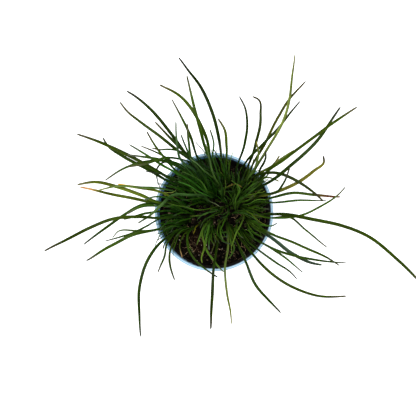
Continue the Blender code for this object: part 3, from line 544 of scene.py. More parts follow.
shoots = {
    "shoot_back_1": ((218, 187), [
        ("dark", 2.4, 84, -18, (216, 178), (208, 156), (202, 137), (196, 113), (190, 90), (187, 75)),
        ("dark", 2.5, 80, -42, (213, 172), (210, 157), (207, 140), (196, 116), (178, 94.5), (159, 84.5)),
        ("fresh", 2.1, 86, 55, (212, 168), (209, 159), (203, 150), (195.5, 141)),
    ]),
    "shoot_back_2": ((224, 184), [
        ("dark", 2.6, 84, -45, (223.5, 167), (221.5, 142), (213, 111), (200, 85), (188, 70), (178.5, 57)),
        ("fresh", 2.0, 86, 60, (225, 176), (220, 160), (213, 149)),
    ]),
    "shoot_back_3": ((230, 186), [
        ("olive", 2.4, 85, 9, (225.5, 170), (226, 147), (224, 131), (216.5, 119)),
        ("olive", 1.6, 84, 45, (222.5, 170), (220.5, 154), (220, 142)),
        ("fresh", 2.0, 84, 45, (226.5, 176), (224.5, 163), (223.5, 153)),
    ]),
    "shoot_back_4": ((221, 193), [
        ("pale", 1.9, 86, 62, (214, 176), (209, 158), (205.5, 144)),
        ("fresh", 2.0, 86, 45, (218, 174), (212.5, 157), (213.8, 143), (209.5, 129)),
    ]),
    "shoot_back_left_1": ((214, 193), [
        ("dark", 2.2, 84, 2, (209, 178), (198, 160), (190, 136), (180, 115), (171.5, 98.5)),
        ("fresh", 2.3, 85, 40, (206, 176), (190.5, 158), (188.5, 141), (187.3, 123.5)),
        ("bright", 2.6, 82, 66, (210, 177), (204, 170), (190, 158)),
        ("deep", 2.6, 82, 52, (214, 182), (206, 172), (197, 163)),
    ]),
    "shoot_back_left_2": ((208, 190), [
        ("soft", 1.9, 85, 38, (200, 174), (179.5, 158), (176.5, 138), (176, 121)),
        ("fresh", 1.9, 85, 48, (203, 172), (189, 154), (184, 143), (181, 134)),
        ("bright", 2.6, 82, 62, (200, 180), (190, 171), (182, 163)),
        ("deep", 2.4, 82, 55, (203, 179), (196, 168), (188, 160)),
    ]),
    "shoot_back_left_3": ((211, 199), [
        ("dark", 2.6, 82, -34, (205, 178), (186, 157), (170, 133), (150, 108.5), (133, 95), (126, 91)),
        ("dark", 2.3, 84, 6, (200, 173), (178, 147), (164, 131), (154.5, 121.5)),
        ("deep", 2.4, 80, 55, (209, 186), (204, 176), (198, 168)),
    ]),
    "shoot_back_left_4": ((205, 196), [
        ("fresh", 2.1, 83, -1, (190, 178), (177, 171), (165, 158), (155, 145), (146.3, 131)),
        ("olive", 1.8, 83, -4, (185, 171), (170, 159.5), (153, 151), (140.5, 145.5)),
        ("fresh", 1.7, 84, 30, (195, 165), (180, 151.5), (168, 149.5), (160, 149.7), (151, 147.5)),
        ("deep", 2.2, 80, 50, (198, 187), (191, 178), (184, 170)),
    ]),
    "shoot_back_left_5": ((217, 200), [
        ("dark", 2.3, 83, -24, (207, 177), (183, 156), (160, 136), (140, 121.5), (127, 111.5), (119, 101.5)),
        ("fresh", 2.3, 82, -18, (206, 188), (175, 171), (160, 161.5), (141, 151.5), (128.5, 144.5)),
        ("bright", 2.7, 80, 58, (205, 185), (194, 177), (182, 172)),
        ("deep", 2.4, 80, 55, (214, 190), (211, 181), (204, 174)),
    ]),
    "shoot_back_left_6": ((201, 201), [
        ("dark", 2.0, 83, -31, (188, 172), (178, 165), (163, 161.5), (140, 163.3), (121, 170), (104.5, 180.5)),
        ("dark", 1.9, 84, -4, (194, 164), (181, 159.5), (166, 157.5), (146, 163.5), (127, 167.5)),
        ("dark", 2.1, 81, 4, (182, 169), (163, 162), (143, 157), (127, 154.5)),
    ]),
    "shoot_back_left_7": ((205, 206), [
        ("dark", 2.7, 79, -44, (196, 192), (172, 181), (157, 171.5), (133, 157.5), (107, 145.5), (76.5, 134)),
        ("pale", 1.8, 82, 4, (190, 187), (170, 179), (158, 171.5), (146, 165)),
        ("deep", 2.2, 79, 45, (196, 199), (187, 193), (178, 189)),
    ]),
    "shoot_back_left_8": ((198, 206), [
        ("dark", 2.7, 78, -34, (192, 191), (167, 181), (148, 169.5), (122, 156), (108, 146.5), (102.3, 137)),
        ("dark", 1.7, 82, 28, (182, 185), (163, 174), (154, 173), (145, 171)),
        ("fresh", 2.2, 79, 48, (189, 198), (181, 192), (173, 188)),
    ]),
    "shoot_back_left_9": ((196, 196), [
        ("dark", 2.1, 84, -21, (186, 176), (175, 165), (164, 162.5), (157, 170), (157.5, 180), (162.5, 193.5)),
        ("yellowTip", 1.5, 84, -40, (190, 174), (182, 168), (178.5, 174), (180, 182), (176, 191), (161, 192)),
        ("dark", 2.0, 80, 45, (190, 188), (183, 181), (176, 178)),
    ]),
    "shoot_left_1": ((193, 212), [
        ("olive", 2.8, 77, -46, (180, 205), (158, 203), (140, 195), (120, 187.3), (97, 182), (77, 184.7)),
        ("yellowTip", 2.6, 80, -20, (176, 200), (160, 191.5), (140, 187.8), (117.5, 184)),
        ("fresh", 2.0, 82, 34, (176, 199), (165, 196), (152, 197), (143.5, 200)),
    ]),
    "shoot_left_2": ((189, 205), [
        ("tanTip", 2.5, 78, -40, (174, 206), (156, 203), (140, 200), (120, 196), (97, 191), (79.5, 187)),
        ("pale", 2.0, 82, -22, (178, 193), (160, 188.5), (140, 187), (118, 186.2), (98, 190)),
        ("fresh", 2.0, 80, 45, (182, 202), (174, 200), (166, 199.5)),
    ]),
    "shoot_left_3": ((186, 212), [
        ("dark", 2.2, 80, -40, (172, 206), (157, 203), (144, 204.5), (124, 215), (106, 227.5), (83.5, 245)),
        ("fresh", 2.1, 82, 6, (177, 211), (163, 211), (148, 213.2), (123.3, 219.5)),
        ("fresh", 2.4, 82, 28, (174, 207), (158, 206.5), (140, 208.5), (127, 213.8)),
    ]),
    "shoot_left_4": ((198, 216), [
        ("dark", 2.5, 77, -48, (180, 217), (160, 219), (140, 217), (118, 218), (90, 227.8), (60, 243),
         (44, 251.5)),
        ("fresh", 1.8, 84, 50, (184, 210), (175, 205), (166, 207)),
        ("fresh", 2.2, 80, 42, (190, 213), (182, 213), (173, 216)),
    ]),
    "shoot_left_5": ((184, 219), [
        ("dark", 1.6, 81, -30, (172, 216), (158, 219.5), (145, 227), (132, 233.5), (120, 237), (104.5, 241)),
        ("soft", 1.8, 80, -24, (170, 227), (150, 230.5), (134, 230.3), (118, 231.5), (112, 238)),
        ("fresh", 1.8, 84, 50, (178, 214), (170, 217), (165, 224)),
    ]),
    "shoot_left_6": ((190, 221), [
        ("dark", 2.5, 79, -42, (174, 226), (155, 230), (130, 236), (110, 246.5), (86, 261)),
        ("fresh", 1.8, 83, 38, (176, 220), (166, 223), (160, 230)),
        ("dark", 2.0, 80, 45, (183, 223), (176, 226), (171, 232)),
    ]),
    "shoot_left_7": ((185, 226), [
        ("dark", 2.0, 81, -16, (176, 232), (168, 242), (164, 257.5), (158, 273)),
        ("fresh", 1.8, 84, 48, (172, 226), (161.5, 233), (156.5, 243), (155, 247)),
    ]),
    "shoot_left_8": ((193, 228), [
        ("dark", 2.5, 78, -54, (178, 231), (162, 241), (148, 259.5), (139, 288), (139.5, 318), (140.6, 337)),
        ("olive", 2.2, 82, -1, (180, 232), (172, 245), (169.2, 260), (174.7, 280.5)),
        ("tanTip", 1.5, 85, 42, (185, 233), (180, 246), (182, 258)),
    ]),
    "shoot_front_1": ((200, 223), [
        ("dark", 2.1, 80, -26, (188, 233), (187.5, 246), (194, 258.5), (206, 270), (218, 277.3)),
        ("yellow", 1.5, 85, 66, (196, 227), (193.5, 234)),
    ]),
    "shoot_front_2": ((206, 220), [
        ("fresh", 2.1, 80, -22, (202.5, 234), (206, 248), (215, 262.5), (224, 272)),
        ("lime", 2.2, 82, 9, (202.5, 231), (204.5, 248), (201.5, 260), (202, 263)),
    ]),
    "shoot_front_3": ((213, 217), [
        ("bright", 2.1, 82, 34, (211, 222), (207.5, 233), (206, 246)),
        ("lime", 1.9, 86, 60, (205, 226), (200, 236), (197, 245)),
        ("fresh", 2.0, 80, 20, (210, 226), (209.5, 238), (209, 250)),
    ]),
    "shoot_front_4": ((219, 221), [
        ("dark", 2.5, 78, -48, (217.5, 238), (214.5, 262), (212.3, 290), (211.3, 315), (210.5, 329.5)),
        ("fresh", 1.6, 85, 55, (221.5, 232), (226, 232), (227, 238)),
        ("fresh", 1.8, 80, 45, (220, 230), (221.5, 240), (226, 243)),
    ]),
    "shoot_front_5": ((226, 220), [
        ("soft", 1.8, 79, -46, (228, 247), (224.8, 268), (227, 294), (230.7, 312), (231.5, 324.5)),
        ("dark", 2.2, 79, -46, (233, 229), (246, 246), (265, 267.5), (290, 286), (315, 295.5), (347, 296)),
        ("fresh", 1.9, 80, 42, (230, 230), (232, 239), (236, 244)),
    ]),
    "shoot_front_6": ((231, 226), [
        ("dark", 2.3, 79, -46, (236, 240), (245.5, 261.5), (256, 285), (269, 300.5), (281, 313)),
        ("bright", 1.8, 84, 30, (231, 240), (234, 248), (232, 254), (228, 259)),
        ("fresh", 2.0, 80, 48, (237, 232), (243, 238)),
    ]),
    "shoot_front_7": ((213, 226), [
        ("fresh", 1.8, 85, 48, (219, 236), (225, 242), (231, 245)),
        ("fresh", 1.8, 86, 62, (211, 236), (214, 246)),
    ]),
    "shoot_front_right_1": ((237, 221), [
        ("dark", 1.7, 80, -30, (244, 237), (257, 249), (277, 263), (289, 271), (297, 279.5)),
        ("fresh", 1.8, 85, 60, (237, 231), (243, 238)),
    ]),
    "shoot_front_right_2": ((244, 218), [
        ("dark", 2.1, 78, -40, (255, 227), (272, 234), (297, 244), (323, 255.5), (340, 265.5)),
        ("fresh", 1.9, 83, 4, (252, 221), (262, 225), (271, 226), (277.5, 223)),
        ("fresh", 2.0, 80, 35, (253, 222), (262, 228), (270, 235)),
    ]),
    "shoot_front_right_3": ((246, 225), [
        ("dusty", 2.9, 78, -42, (262, 232), (277, 242), (294, 255), (306, 261), (322, 265.5)),
        ("fresh", 2.0, 84, 58, (252, 231), (263, 238)),
    ]),
    "shoot_front_right_4": ((239, 228), [
        ("dark", 2.0, 79, -40, (257, 240), (274, 249), (296, 256.5), (318, 260.5), (347, 263)),
        ("dark", 1.7, 80, -24, (256, 240), (268, 246), (282, 255.5), (303.5, 272.5)),
    ]),
    "shoot_right_1": ((243, 211), [
        ("dark", 2.8, 77, -56, (265, 214), (285, 215), (310, 219), (340, 224.8), (366, 235), (398, 259.5),
         (426, 289)),
        ("lime", 2.0, 84, 30, (243.5, 218), (239, 228), (233, 241), (230.5, 246)),
    ]),
    "shoot_right_2": ((251, 215), [
        ("dark", 1.6, 80, -34, (271, 217.7), (290, 217.3), (306, 230), (320, 242), (327.5, 247.5)),
    ]),
    "shoot_right_3": ((238, 206), [
        ("dark", 1.7, 79, -34, (256, 212), (278, 216), (298, 215.5), (320, 207), (337, 195.5), (346, 186.5)),
        ("dark", 1.8, 79, -26, (255, 204), (270, 203.5), (300, 200.2), (326.5, 200.5)),
        ("fresh", 2.2, 80, 28, (248, 208), (258, 209.5), (269, 209.5)),
    ]),
    "shoot_right_4": ((244, 204), [
        ("redTip", 2.3, 78, -40, (260, 201), (275, 196.8), (296, 193), (318, 195.5), (341, 197)),
        ("dark", 1.9, 83, 30, (262, 194), (277.5, 192), (283, 184), (290, 167.5)),
    ]),
    "shoot_right_5": ((236, 199), [
        ("curledTip", 2.7, 78, -44, (250, 198.5), (270, 194.5), (289, 187), (314, 171), (324, 162),
         (323, 155.5)),
        ("bright", 2.4, 83, 68, (240, 194), (250, 189.5), (259, 181.5)),
        ("bright", 2.4, 80, 45, (243, 192), (251, 186), (258, 181)),
    ]),
    "shoot_right_6": ((250, 207), [
        ("fresh", 1.8, 85, 58, (259, 205), (267, 199), (272, 192)),
        ("fresh", 2.0, 85, 62, (258, 211), (268, 209)),
        ("fresh", 2.0, 80, 30, (258, 203.5), (268, 202.5)),
    ]),
    "shoot_right_7": ((244, 196), [
        ("dark", 2.6, 78, -34, (255, 190), (273, 180), (294, 163.5), (318, 138.5), (340.5, 106.5)),
        ("dark", 2.4, 81, -28, (252, 178), (271, 173), (292, 178.5), (311, 190.5), (323.5, 201)),
        ("fresh", 2.3, 80, 45, (249, 188), (255, 181), (260, 174)),
    ]),
    "shoot_back_right_1": ((250, 191), [
        ("dark", 2.4, 79, -40, (262, 174), (285, 159), (311, 140), (330, 125.5), (357.5, 107)),
        ("olive", 2.1, 82, 6, (260, 175), (273, 165), (280, 155.5)),
        ("fresh", 2.0, 80, 35, (257, 184), (264, 178), (270, 172)),
    ]),
    "shoot_back_right_2": ((256, 186), [
        ("pale", 1.6, 82, 2, (272, 167), (283, 157), (295, 150)),
        ("pale", 1.6, 83, 28, (264, 178), (273, 178.5), (279, 181.5)),
        ("dark", 2.0, 85, 48, (260, 172), (265.5, 157), (265.5, 151)),
    ]),
    "shoot_back_right_3": ((247, 184), [
        ("soft", 2.1, 82, -42, (253, 173), (266, 151), (280, 128), (290, 97), (292.7, 72), (295, 54.5)),
        ("olive", 2.1, 82, -30, (252, 166), (266, 144), (279, 118), (291, 97), (306, 81)),
    ]),
    "shoot_back_right_4": ((241, 186), [
        ("dark", 2.1, 82, -21, (244, 166), (262, 144), (280, 123.5), (300.5, 101)),
        ("dark", 2.3, 84, -21, (247, 168), (255.5, 144), (260.7, 115), (259, 100), (252, 96.5)),
        ("pale", 1.9, 86, 45, (250, 175), (258, 158), (256.5, 141)),
    ]),
    "shoot_back_right_5": ((236, 191), [
        ("dark", 2.1, 84, -1, (236, 173), (244.5, 144), (247.5, 125), (245, 107), (239, 96)),
        ("fresh", 2.0, 86, 66, (240, 181), (237, 172)),
        ("fresh", 2.1, 82, 45, (241, 183), (245, 174), (248, 166)),
    ]),
    "shoot_middle_1": ((212, 206), [
        ("soft", 2.3, 80, -22, (204, 196), (192, 193), (177, 195), (160, 204.5), (146, 217), (137.5, 223.5)),
        ("dark", 2.4, 80, 48, (203, 202), (193, 204), (185, 208)),
    ]),
    "shoot_middle_2": ((222, 208), [
        ("halfDry", 1.1, 84, 32, (217, 205), (207, 199), (203, 193.5), (205.5, 188.5)),
        ("fresh", 2.1, 85, 45, (215, 214), (205, 220), (200, 228)),
        ("lime", 2.0, 80, 22, (210, 209.5), (195, 210), (182, 207), (168, 204)),
    ]),
    "shoot_middle_3": ((223, 201), [
        ("amberTip", 1.5, 85, 30, (222, 191), (229, 187), (237, 184.5), (242, 187)),
        ("fresh", 2.1, 86, 66, (222, 187), (219, 176)),
        ("deep", 2.2, 82, 50, (221, 193), (215, 186), (212, 178)),
    ]),
    "shoot_middle_4": ((232, 208), [
        ("bright", 1.7, 85, 52, (236, 199), (238, 192), (238, 186)),
        ("fresh", 1.9, 86, 60, (240, 203), (248, 200), (254, 195)),
        ("bright", 2.2, 80, 42, (240, 200), (248, 194), (255, 188)),
    ]),
    "shoot_middle_5": ((229, 199), [
        ("fresh", 1.6, 86, 62, (231, 194), (228, 188)),
        ("bright", 2.1, 85, 60, (232, 190), (234, 180), (233, 172)),
        ("fresh", 2.0, 82, 50, (234, 191), (239, 183), (243, 176)),
    ]),
    "shoot_middle_6": ((229, 214), [
        ("fresh", 1.8, 84, 40, (224, 222), (221, 232), (223, 240)),
        ("bright", 2.0, 85, 58, (240, 213), (250, 216), (258, 222)),
    ]),
    "shoot_middle_7": ((236, 213), [
        ("bright", 1.7, 85, 44, (236, 200), (240, 189), (231, 180)),
        ("fresh", 2.0, 80, 42, (242, 211), (250, 212), (258, 214)),
    ]),
    "shoot_middle_8": ((227, 206), [
        ("bright", 1.4, 84, 40, (232, 202), (232, 196), (228, 190)),
        ("lime", 1.3, 82, 20, (221, 208.5), (210, 210.5)),
        ("fresh", 1.5, 84, 45, (229, 211), (226, 216), (220, 218.5)),
        ("deep", 1.4, 85, 50, (225, 202), (221, 199), (215, 195)),
    ]),
}

# The kinds of leaf: colours at the foot, along the blade and at the tip, and where along the leaf the tip begins.
# Most foot colours are dark, painted shade low in the pot.

leafKinds = {
    "dark": ((0.0052, 0.0147, 0.0009), (0.018, 0.044, 0.0022), (0.048, 0.060, 0.036), 0.84),
    "deep": ((0.0035, 0.0121, 0.0004), (0.018, 0.066, 0.002), (0.034, 0.080, 0.005), 0.92),
    "fresh": ((0.0069, 0.0199, 0.0009), (0.034, 0.085, 0.006), (0.056, 0.074, 0.040), 0.86),
    "bright": ((0.0095, 0.0242, 0.0013), (0.060, 0.132, 0.014), (0.090, 0.140, 0.022), 0.94),
    "lime": ((0.0112, 0.0242, 0.0013), (0.074, 0.130, 0.013), (0.098, 0.136, 0.020), 0.94),
    "olive": ((0.0095, 0.0181, 0.0009), (0.042, 0.066, 0.004), (0.068, 0.074, 0.030), 0.84),
    "pale": ((0.0112, 0.0233, 0.0017), (0.092, 0.150, 0.028), (0.140, 0.160, 0.040), 0.88),
    "halfDry": ((0.66, 0.52, 0.29), (0.46, 0.39, 0.20), (0.050, 0.095, 0.016), 0.42),
    "yellow": ((0.10, 0.12, 0.010), (0.190, 0.180, 0.012), (0.230, 0.180, 0.022), 0.70),
    "yellowTip": ((0.0156, 0.0330, 0.0030), (0.085, 0.110, 0.010), (0.380, 0.310, 0.060), 0.76),
    "soft": ((0.0095, 0.0216, 0.0014), (0.060, 0.102, 0.026), (0.085, 0.115, 0.060), 0.84),
    "tanTip": ((0.0156, 0.0330, 0.0030), (0.030, 0.056, 0.005), (0.280, 0.200, 0.120), 0.82),
    "amberTip": ((0.0156, 0.0330, 0.0030), (0.075, 0.120, 0.012), (0.270, 0.155, 0.050), 0.58),
    "redTip": ((0.0156, 0.0330, 0.0030), (0.034, 0.066, 0.006), (0.150, 0.050, 0.018), 0.72),
    "curledTip": ((0.0156, 0.0330, 0.0030), (0.115, 0.125, 0.014), (0.022, 0.016, 0.008), 0.90),
    "dusty": ((0.018, 0.036, 0.012), (0.034, 0.070, 0.038), (0.048, 0.084, 0.050), 0.92),
}
withered = ("halfDry", "yellow")

leafTint = {
    "warm": (0.16, 0.0, -0.30),  # how far a leaf's red, green and blue may drift together
    "rising": (0.03, 0.52),  # where along the leaf the foot's colour, mostly painted shade, turns into the blade's
    "lightness": (0.46, 1.40),
    "patches": (0.72, 1.30),
    "channel": 0.74,  # painted shade: how light the middle of the blade is
    "edges": 0.40,  # painted highlight: how much lighter its edges are
    "lean": 0.42,  # painted highlight on one edge, painted shade on the other
    "heartAt": (-0.013, 0.022),  # the tallest clump, where the leaves are greener, and darker as painted shade inside the clump
    "heart": (0.022, 0.058),
    "heartLess": (0.46, 0.22, 0.38),  # of red, green and blue
    "beyond": (0.046, 0.074),  # from the pot's axis: past it the leaves are yellower
    "beyondMore": (0.50, 0.22, 0.06),
    "deep": (0.16, 0.026),  # painted shade near the soil: the share of the colour left at the soil, and the height where all of it is back
    "tipFade": (0.6, 0.02),  # the tip's colour comes in over this share of what is left of the leaf, and so much more
    "patchStep": (7.3, 9),  # of the patches' noise: from leaf to leaf, and along a leaf
    "patchSeed": 5,
}

leafLook = {
    "specular": 0.04,
    "roughness": (0.36, 0.54),
    "veins": 9.0,  # half turns of the ridges' cosine from the middle to the edge
    "veinHeight": 0.00006,
    "streakShade": (0.80, 1.20),
    "dust": (0.070, 0.105, 0.030),
    "dusting": 0.22,
    "leafStep": 0.37,  # the place's third value rises by this from leaf to leaf
    "stemsFrom": 50.0,
}

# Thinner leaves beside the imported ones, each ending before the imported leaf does

besideShape = {
    "perLeaf": {"middle": 2, "back_left": 3, "left": 2, "back": 2, "back_right": 2, "right": 2,
                "front_right": 2, "front": 1},
    "apart": (0.0020, 0.0065),  # sideways, at the tip
    "over": (-0.0040, 0.0015),
    "reach": 0.085,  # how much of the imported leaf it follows, at most
    "within": 0.058,  # and no further from the pot's axis than this
    "ends": (0.50, 0.94),
    "leaving": 1.5,  # the power by which it moves away
    "foot": 0.80,
    "width": (0.34, 0.54),
    "stations": 28,
    "around": 8,
    # on the left the thinner leaves take mostly the darkest kinds, as painted shade on that side
    "looks": {"back_left": ("deep", "deep", "fresh", "bright"), "left": ("deep", "deep", "dark", "fresh"),
              "front": ("fresh", "bright", "lime", "olive"), "middle": ("fresh", "bright", "lime", "pale")},
    "otherLooks": ("dark", "fresh", "bright", "lime"),
}
besideShare = np.linspace(0, 1, besideShape["stations"])

feet = seenAt([foot for foot, _ in shoots.values()], np.full(len(shoots), soilShape["level"]))
footHeights = soilHeight(feet[:, 0], feet[:, 1])
stems = np.stack([np.column_stack([feet, footHeights - stemShape["depth"]]),
                  np.column_stack([feet, footHeights + stemShape["rise"]])], axis=1)
leaves = [(number, leaf) for number, (_, group) in enumerate(shoots.values()) for leaf in group]
owners = np.array([number for number, _ in leaves])
kinds = [leaf[0] for _, leaf in leaves]
leafWidth = np.array([leaf[1] for _, leaf in leaves])[:, None] / 1000

cadShare = np.linspace(0, 1, leafShape["cadStations"])
tipShare = 1 - (1 - leafShape["tipStart"]) * np.cos(np.linspace(0, math.pi / 2, leafShape["tipStations"] + 1))[1:]
share = np.concatenate([np.linspace(0, leafShape["tipStart"], leafShape["stations"]), np.sort(tipShare)])


def settledPaths():
    # the fine path is the route itself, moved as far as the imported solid's stations were moved by the settling
    routes = [(feet[number], leaf[2:4], leaf[4:]) for number, leaf in leaves]
    coarse = np.array([leafPath(*route, cadShare) for route in routes])
    fine = np.array([leafPath(*route, share) for route in routes])
    short = np.linalg.norm(np.diff(coarse, axis=1), axis=2).sum(axis=1) < leafShape["shortLeaf"]
    radii = (packedWidths(leafWidth, cadShare[None, :]) + settleShape["clearance"]) / 2
    stemRadius = stemShape["footRadius"] + settleShape["clearance"] / 2
    settled = settleLeaves(coarse, radii, owners, stems, stemRadius, short)
    moved = straighten(settled - coarse, short)
    return fine + np.array([throughPoints(move, cadShare, share) for move in moved])


def besideBlades(paths, random):
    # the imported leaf's path up to its end share, moved off it sideways and upward by a power of the way's share
    regions = [name.removeprefix("shoot_").rsplit("_", 1)[0] for name in shoots]
    sound = [leaf for leaf in range(len(paths)) if kinds[leaf] not in withered]
    chosen = np.repeat(sound, [besideShape["perLeaf"][regions[owners[leaf]]] for leaf in sound])
    count = len(chosen)
    sides, ups = carriedFrames(paths[chosen], share)
    length = np.linalg.norm(np.diff(paths[chosen], axis=1), axis=2).sum(axis=1)
    outside = np.linalg.norm(paths[chosen, :, :2], axis=2) > besideShape["within"]
    leaving = np.where(outside.any(axis=1), share[outside.argmax(axis=1)], 1)
    ends = np.minimum(besideShape["reach"] / length, leaving) * random.uniform(*besideShape["ends"], count)
    apart = random.uniform(*besideShape["apart"], count) * random.choice((-1, 1), count)
    over = random.uniform(*besideShape["over"], count)
    followed = []
    for path, side, up, end, aside, above in zip(paths[chosen], sides, ups, ends, apart, over):
        moved = path + (side * aside + up * above) * (share / end)[:, None]**besideShape["leaving"]
        followed.append(throughPoints(moved, share, besideShare * end))
    widths = leafWidth[chosen] * random.uniform(*besideShape["width"], (count, 1))
    looks = [random.choice(besideShape["looks"].get(regions[owners[leaf]], besideShape["otherLooks"]))
             for leaf in chosen]
    return np.array(followed), widths, owners[chosen], looks


def carriedFrames(paths, at):
    # sideways starts square to the heading, is carried from station to station, and rolls level by mid-leaf
    along = unit(np.gradient(paths, axis=1))
    heading = paths[:, np.searchsorted(at, leafShape["headingAt"])] - paths[:, 0]
    side = np.column_stack([heading[:, 1], -heading[:, 0], np.zeros(len(paths))])
    sides = np.empty_like(paths)
    for station in range(paths.shape[1]):
        direction = along[:, station]
        side = unit(side - direction * (side * direction).sum(axis=1, keepdims=True))
        sides[:, station] = side
    level = np.stack([along[..., 1], -along[..., 0], np.zeros(along.shape[:2])], axis=-1)
    roll = np.arctan2((np.cross(sides, level) * along).sum(axis=2), (sides * level).sum(axis=2))
    roll = (np.unwrap(roll, axis=1) * smoothStep(at, *leafShape["levelBy"]))[..., None]
    sides = sides * np.cos(roll) + np.cross(along, sides) * np.sin(roll)
    return sides, np.cross(sides, along)


def bladeRings(paths, at, widest, foot, looks, around, random):
    # a flat section turned about the path: x = cos a across it, and z = -(thickness / 2 + sag (1 - x^2)),
    # then plus or minus half the thickness times (1 - |x|^edgePower)^0.5 for its two faces
    sides, ups = carriedFrames(paths, at)
    count = len(paths)
    old = np.array([look in withered for look in looks])[:, None]
    reach = np.linalg.norm(paths[..., :2], axis=2)
    curled = (reach[:, -1:] < leafShape["innerReach"]) & (foot < leafShape["frontFoot"])
    most = np.where(curled, leafShape["innerTwist"], leafShape["twist"])
    turn = random.uniform(-1, 1, (count, 1)) * np.where(old, leafShape["oldTwist"], most)
    waves = random.uniform(*leafShape["waves"], (count, 1))
    wave = np.sin(math.tau * (waves * at + random.uniform(0, 1, (count, 1))))
    grown = leafShape["footTwist"] + (1 - leafShape["footTwist"]) * at
    twist = (turn * grown + leafShape["waveTwist"] * wave * at)[:, :, None]
    turns, begins = random.uniform(*leafShape["swayTurns"], (count, 1)), random.uniform(0, 1, (count, 1))
    sway = leafShape["sway"] * np.sin(math.tau * (turns * at + begins)) * smoothStep(at, *leafShape["swayBy"])
    paths = paths + sides * sway[:, :, None]
    sides, ups = sides * np.cos(twist) + ups * np.sin(twist), ups * np.cos(twist) - sides * np.sin(twist)

    angle = circle(around)
    x = np.cos(angle)
    lower = -np.sign(np.round(np.sin(angle), 6))
    rim = np.sqrt(np.clip(1 - np.abs(x)**leafShape["edgePower"], 0, 1))
    rounding = np.sqrt(np.clip(1 - ramp(at, leafShape["tipStart"], 1)**2, leafShape["tipLeast"], 1))
    shoulder = foot + (leafShape["drawnWidth"] - foot) * smoothStep(reach, *leafShape["widening"])
    width = (widest * shoulder * taperAt(at[None, :], *leafShape["drawnTaper"]) * rounding)[:, :, None]
    thick = width * leafShape["thickness"]
    deepening = (leafShape["footChannel"] - leafShape["channel"]) * (1 - smoothStep(at, 0, leafShape["openBy"]))
    sag = leafShape["channel"] * np.where(old, leafShape["oldChannel"], 1.0) + deepening
    height = -thick / 2 - sag[:, :, None] * width * (1 - x**2) + lower * rim * thick / 2
    rings = paths[:, :, None, :] + sides[:, :, None, :] * (x * width / 2)[..., None]
    return rings + ups[:, :, None, :] * height[..., None], x


def bladeTints(looks, at, random):
    # from the foot's colour, mostly painted shade, to the blade's by mid-leaf, and to the tip's past where it begins
    foot, blade, tip = (np.array([leafKinds[look][part] for look in looks])[:, None, :] for part in range(3))
    begins = np.array([leafKinds[look][3] for look in looks])[:, None]
    count = len(looks)
    rising = smoothStep(at[None, :], *leafTint["rising"])[..., None]
    fade, more = leafTint["tipFade"]
    ending = smoothStep(at[None, :], begins, begins + fade * (1 - begins) + more)[..., None]
    tint = foot + (blade - foot) * rising
    tint = tint + (tip - tint) * ending
    apart, length = leafTint["patchStep"]
    spots = np.column_stack([np.repeat(np.arange(count) * apart, len(at)), np.tile(at * length, count)])
    patch = latticeNoise(spots, 1.0, leafTint["patchSeed"]).reshape(count, len(at), 1)
    warm = random.uniform(-1, 1, (count, 1, 1)) * np.array(leafTint["warm"])
    lightness = random.uniform(*leafTint["lightness"], (count, 1, 1))
    low, high = leafTint["patches"]
    return tint * (1 + warm) * lightness * (low + (high - low) * patch)


def bladeTubes(paths, at, widest, foot, looks, around, random):
    # each blade's rings with a colour and a place (across, along, leaf) for every point
    rings, across = bladeRings(paths, at, widest, foot, looks, around, random)
    tints = bladeTints(looks, at, random)
    # painted shade across the blade: darker in its middle, a painted highlight on its edges, and one edge lit while
    # the other is shaded
    lean = random.uniform(-1, 1, (len(paths), 1)) * leafTint["lean"]
    paintedShadeAcross = leafTint["channel"] + leafTint["edges"] * across**2 + lean * across
    tints = tints[:, :, None, :] * paintedShadeAcross[:, None, :, None]
    # near the tallest clump less red, green and blue: a greener hue, and darker as painted shade inside the clump
    heart = 1 - smoothStep(np.linalg.norm(paths[..., :2] - leafTint["heartAt"], axis=2), *leafTint["heart"])
    # painted shade: the lower a leaf is over the soil, the darker
    least, by = leafTint["deep"]
    height = smoothStep(paths[..., 2] - soilShape["level"], 0, by)
    shade = (least + (1 - least) * height)[..., None] * (1 - heart[..., None] * leafTint["heartLess"])
    beyond = smoothStep(np.linalg.norm(paths[..., :2], axis=2), *leafTint["beyond"])
    shade = shade * (1 + beyond[..., None] * leafTint["beyondMore"])
    tints = tints * shade[:, :, None, :]
    steps = np.linalg.norm(np.diff(rings.mean(axis=2), axis=1), axis=2)
    travel = np.concatenate([np.zeros((len(rings), 1)), np.cumsum(steps, axis=1)], axis=1)[:, :, None]
    leaf = leafLook["leafStep"] * np.arange(len(rings))[:, None, None]
    places = np.stack(np.broadcast_arrays(across, travel, leaf), axis=-1)
    return list(zip(rings, tints, places))


def stemTube(number):
    # rings about an upright line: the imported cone's radius at each height, times the profile's share
    rise, part = np.array(stemShape["profile"]).T
    along = (rise + stemShape["depth"]) / (stemShape["depth"] + stemShape["rise"])
    radius = part * (stemShape["footRadius"] + (stemShape["topRadius"] - stemShape["footRadius"]) * along)
    angle = circle(stemShape["around"])
    rib = stemShape["ribDepth"] * np.sin(stemShape["ribs"] * angle + number)
    spread = radius[:, None] * (1 + rib[None, :] * smoothStep(rise, 0, stemShape["ribsBy"])[:, None])
    rings = np.stack([feet[number, 0] + spread * np.cos(angle), feet[number, 1] + spread * np.sin(angle),
                      np.broadcast_to((footHeights[number] + rise)[:, None], spread.shape)], axis=-1)
    green = smoothStep(rise, *stemShape["greenBy"])[:, None]
    tint = np.array(stemShape["low"]) * (1 - green) + np.array(stemShape["high"]) * green
    tints = np.repeat(tint[:, None, :], stemShape["around"], axis=1)
    leaf = leafLook["stemsFrom"] + number
    return rings, tints, np.stack(np.broadcast_arrays(np.cos(angle)[None, :], rise[:, None], leaf), axis=-1)


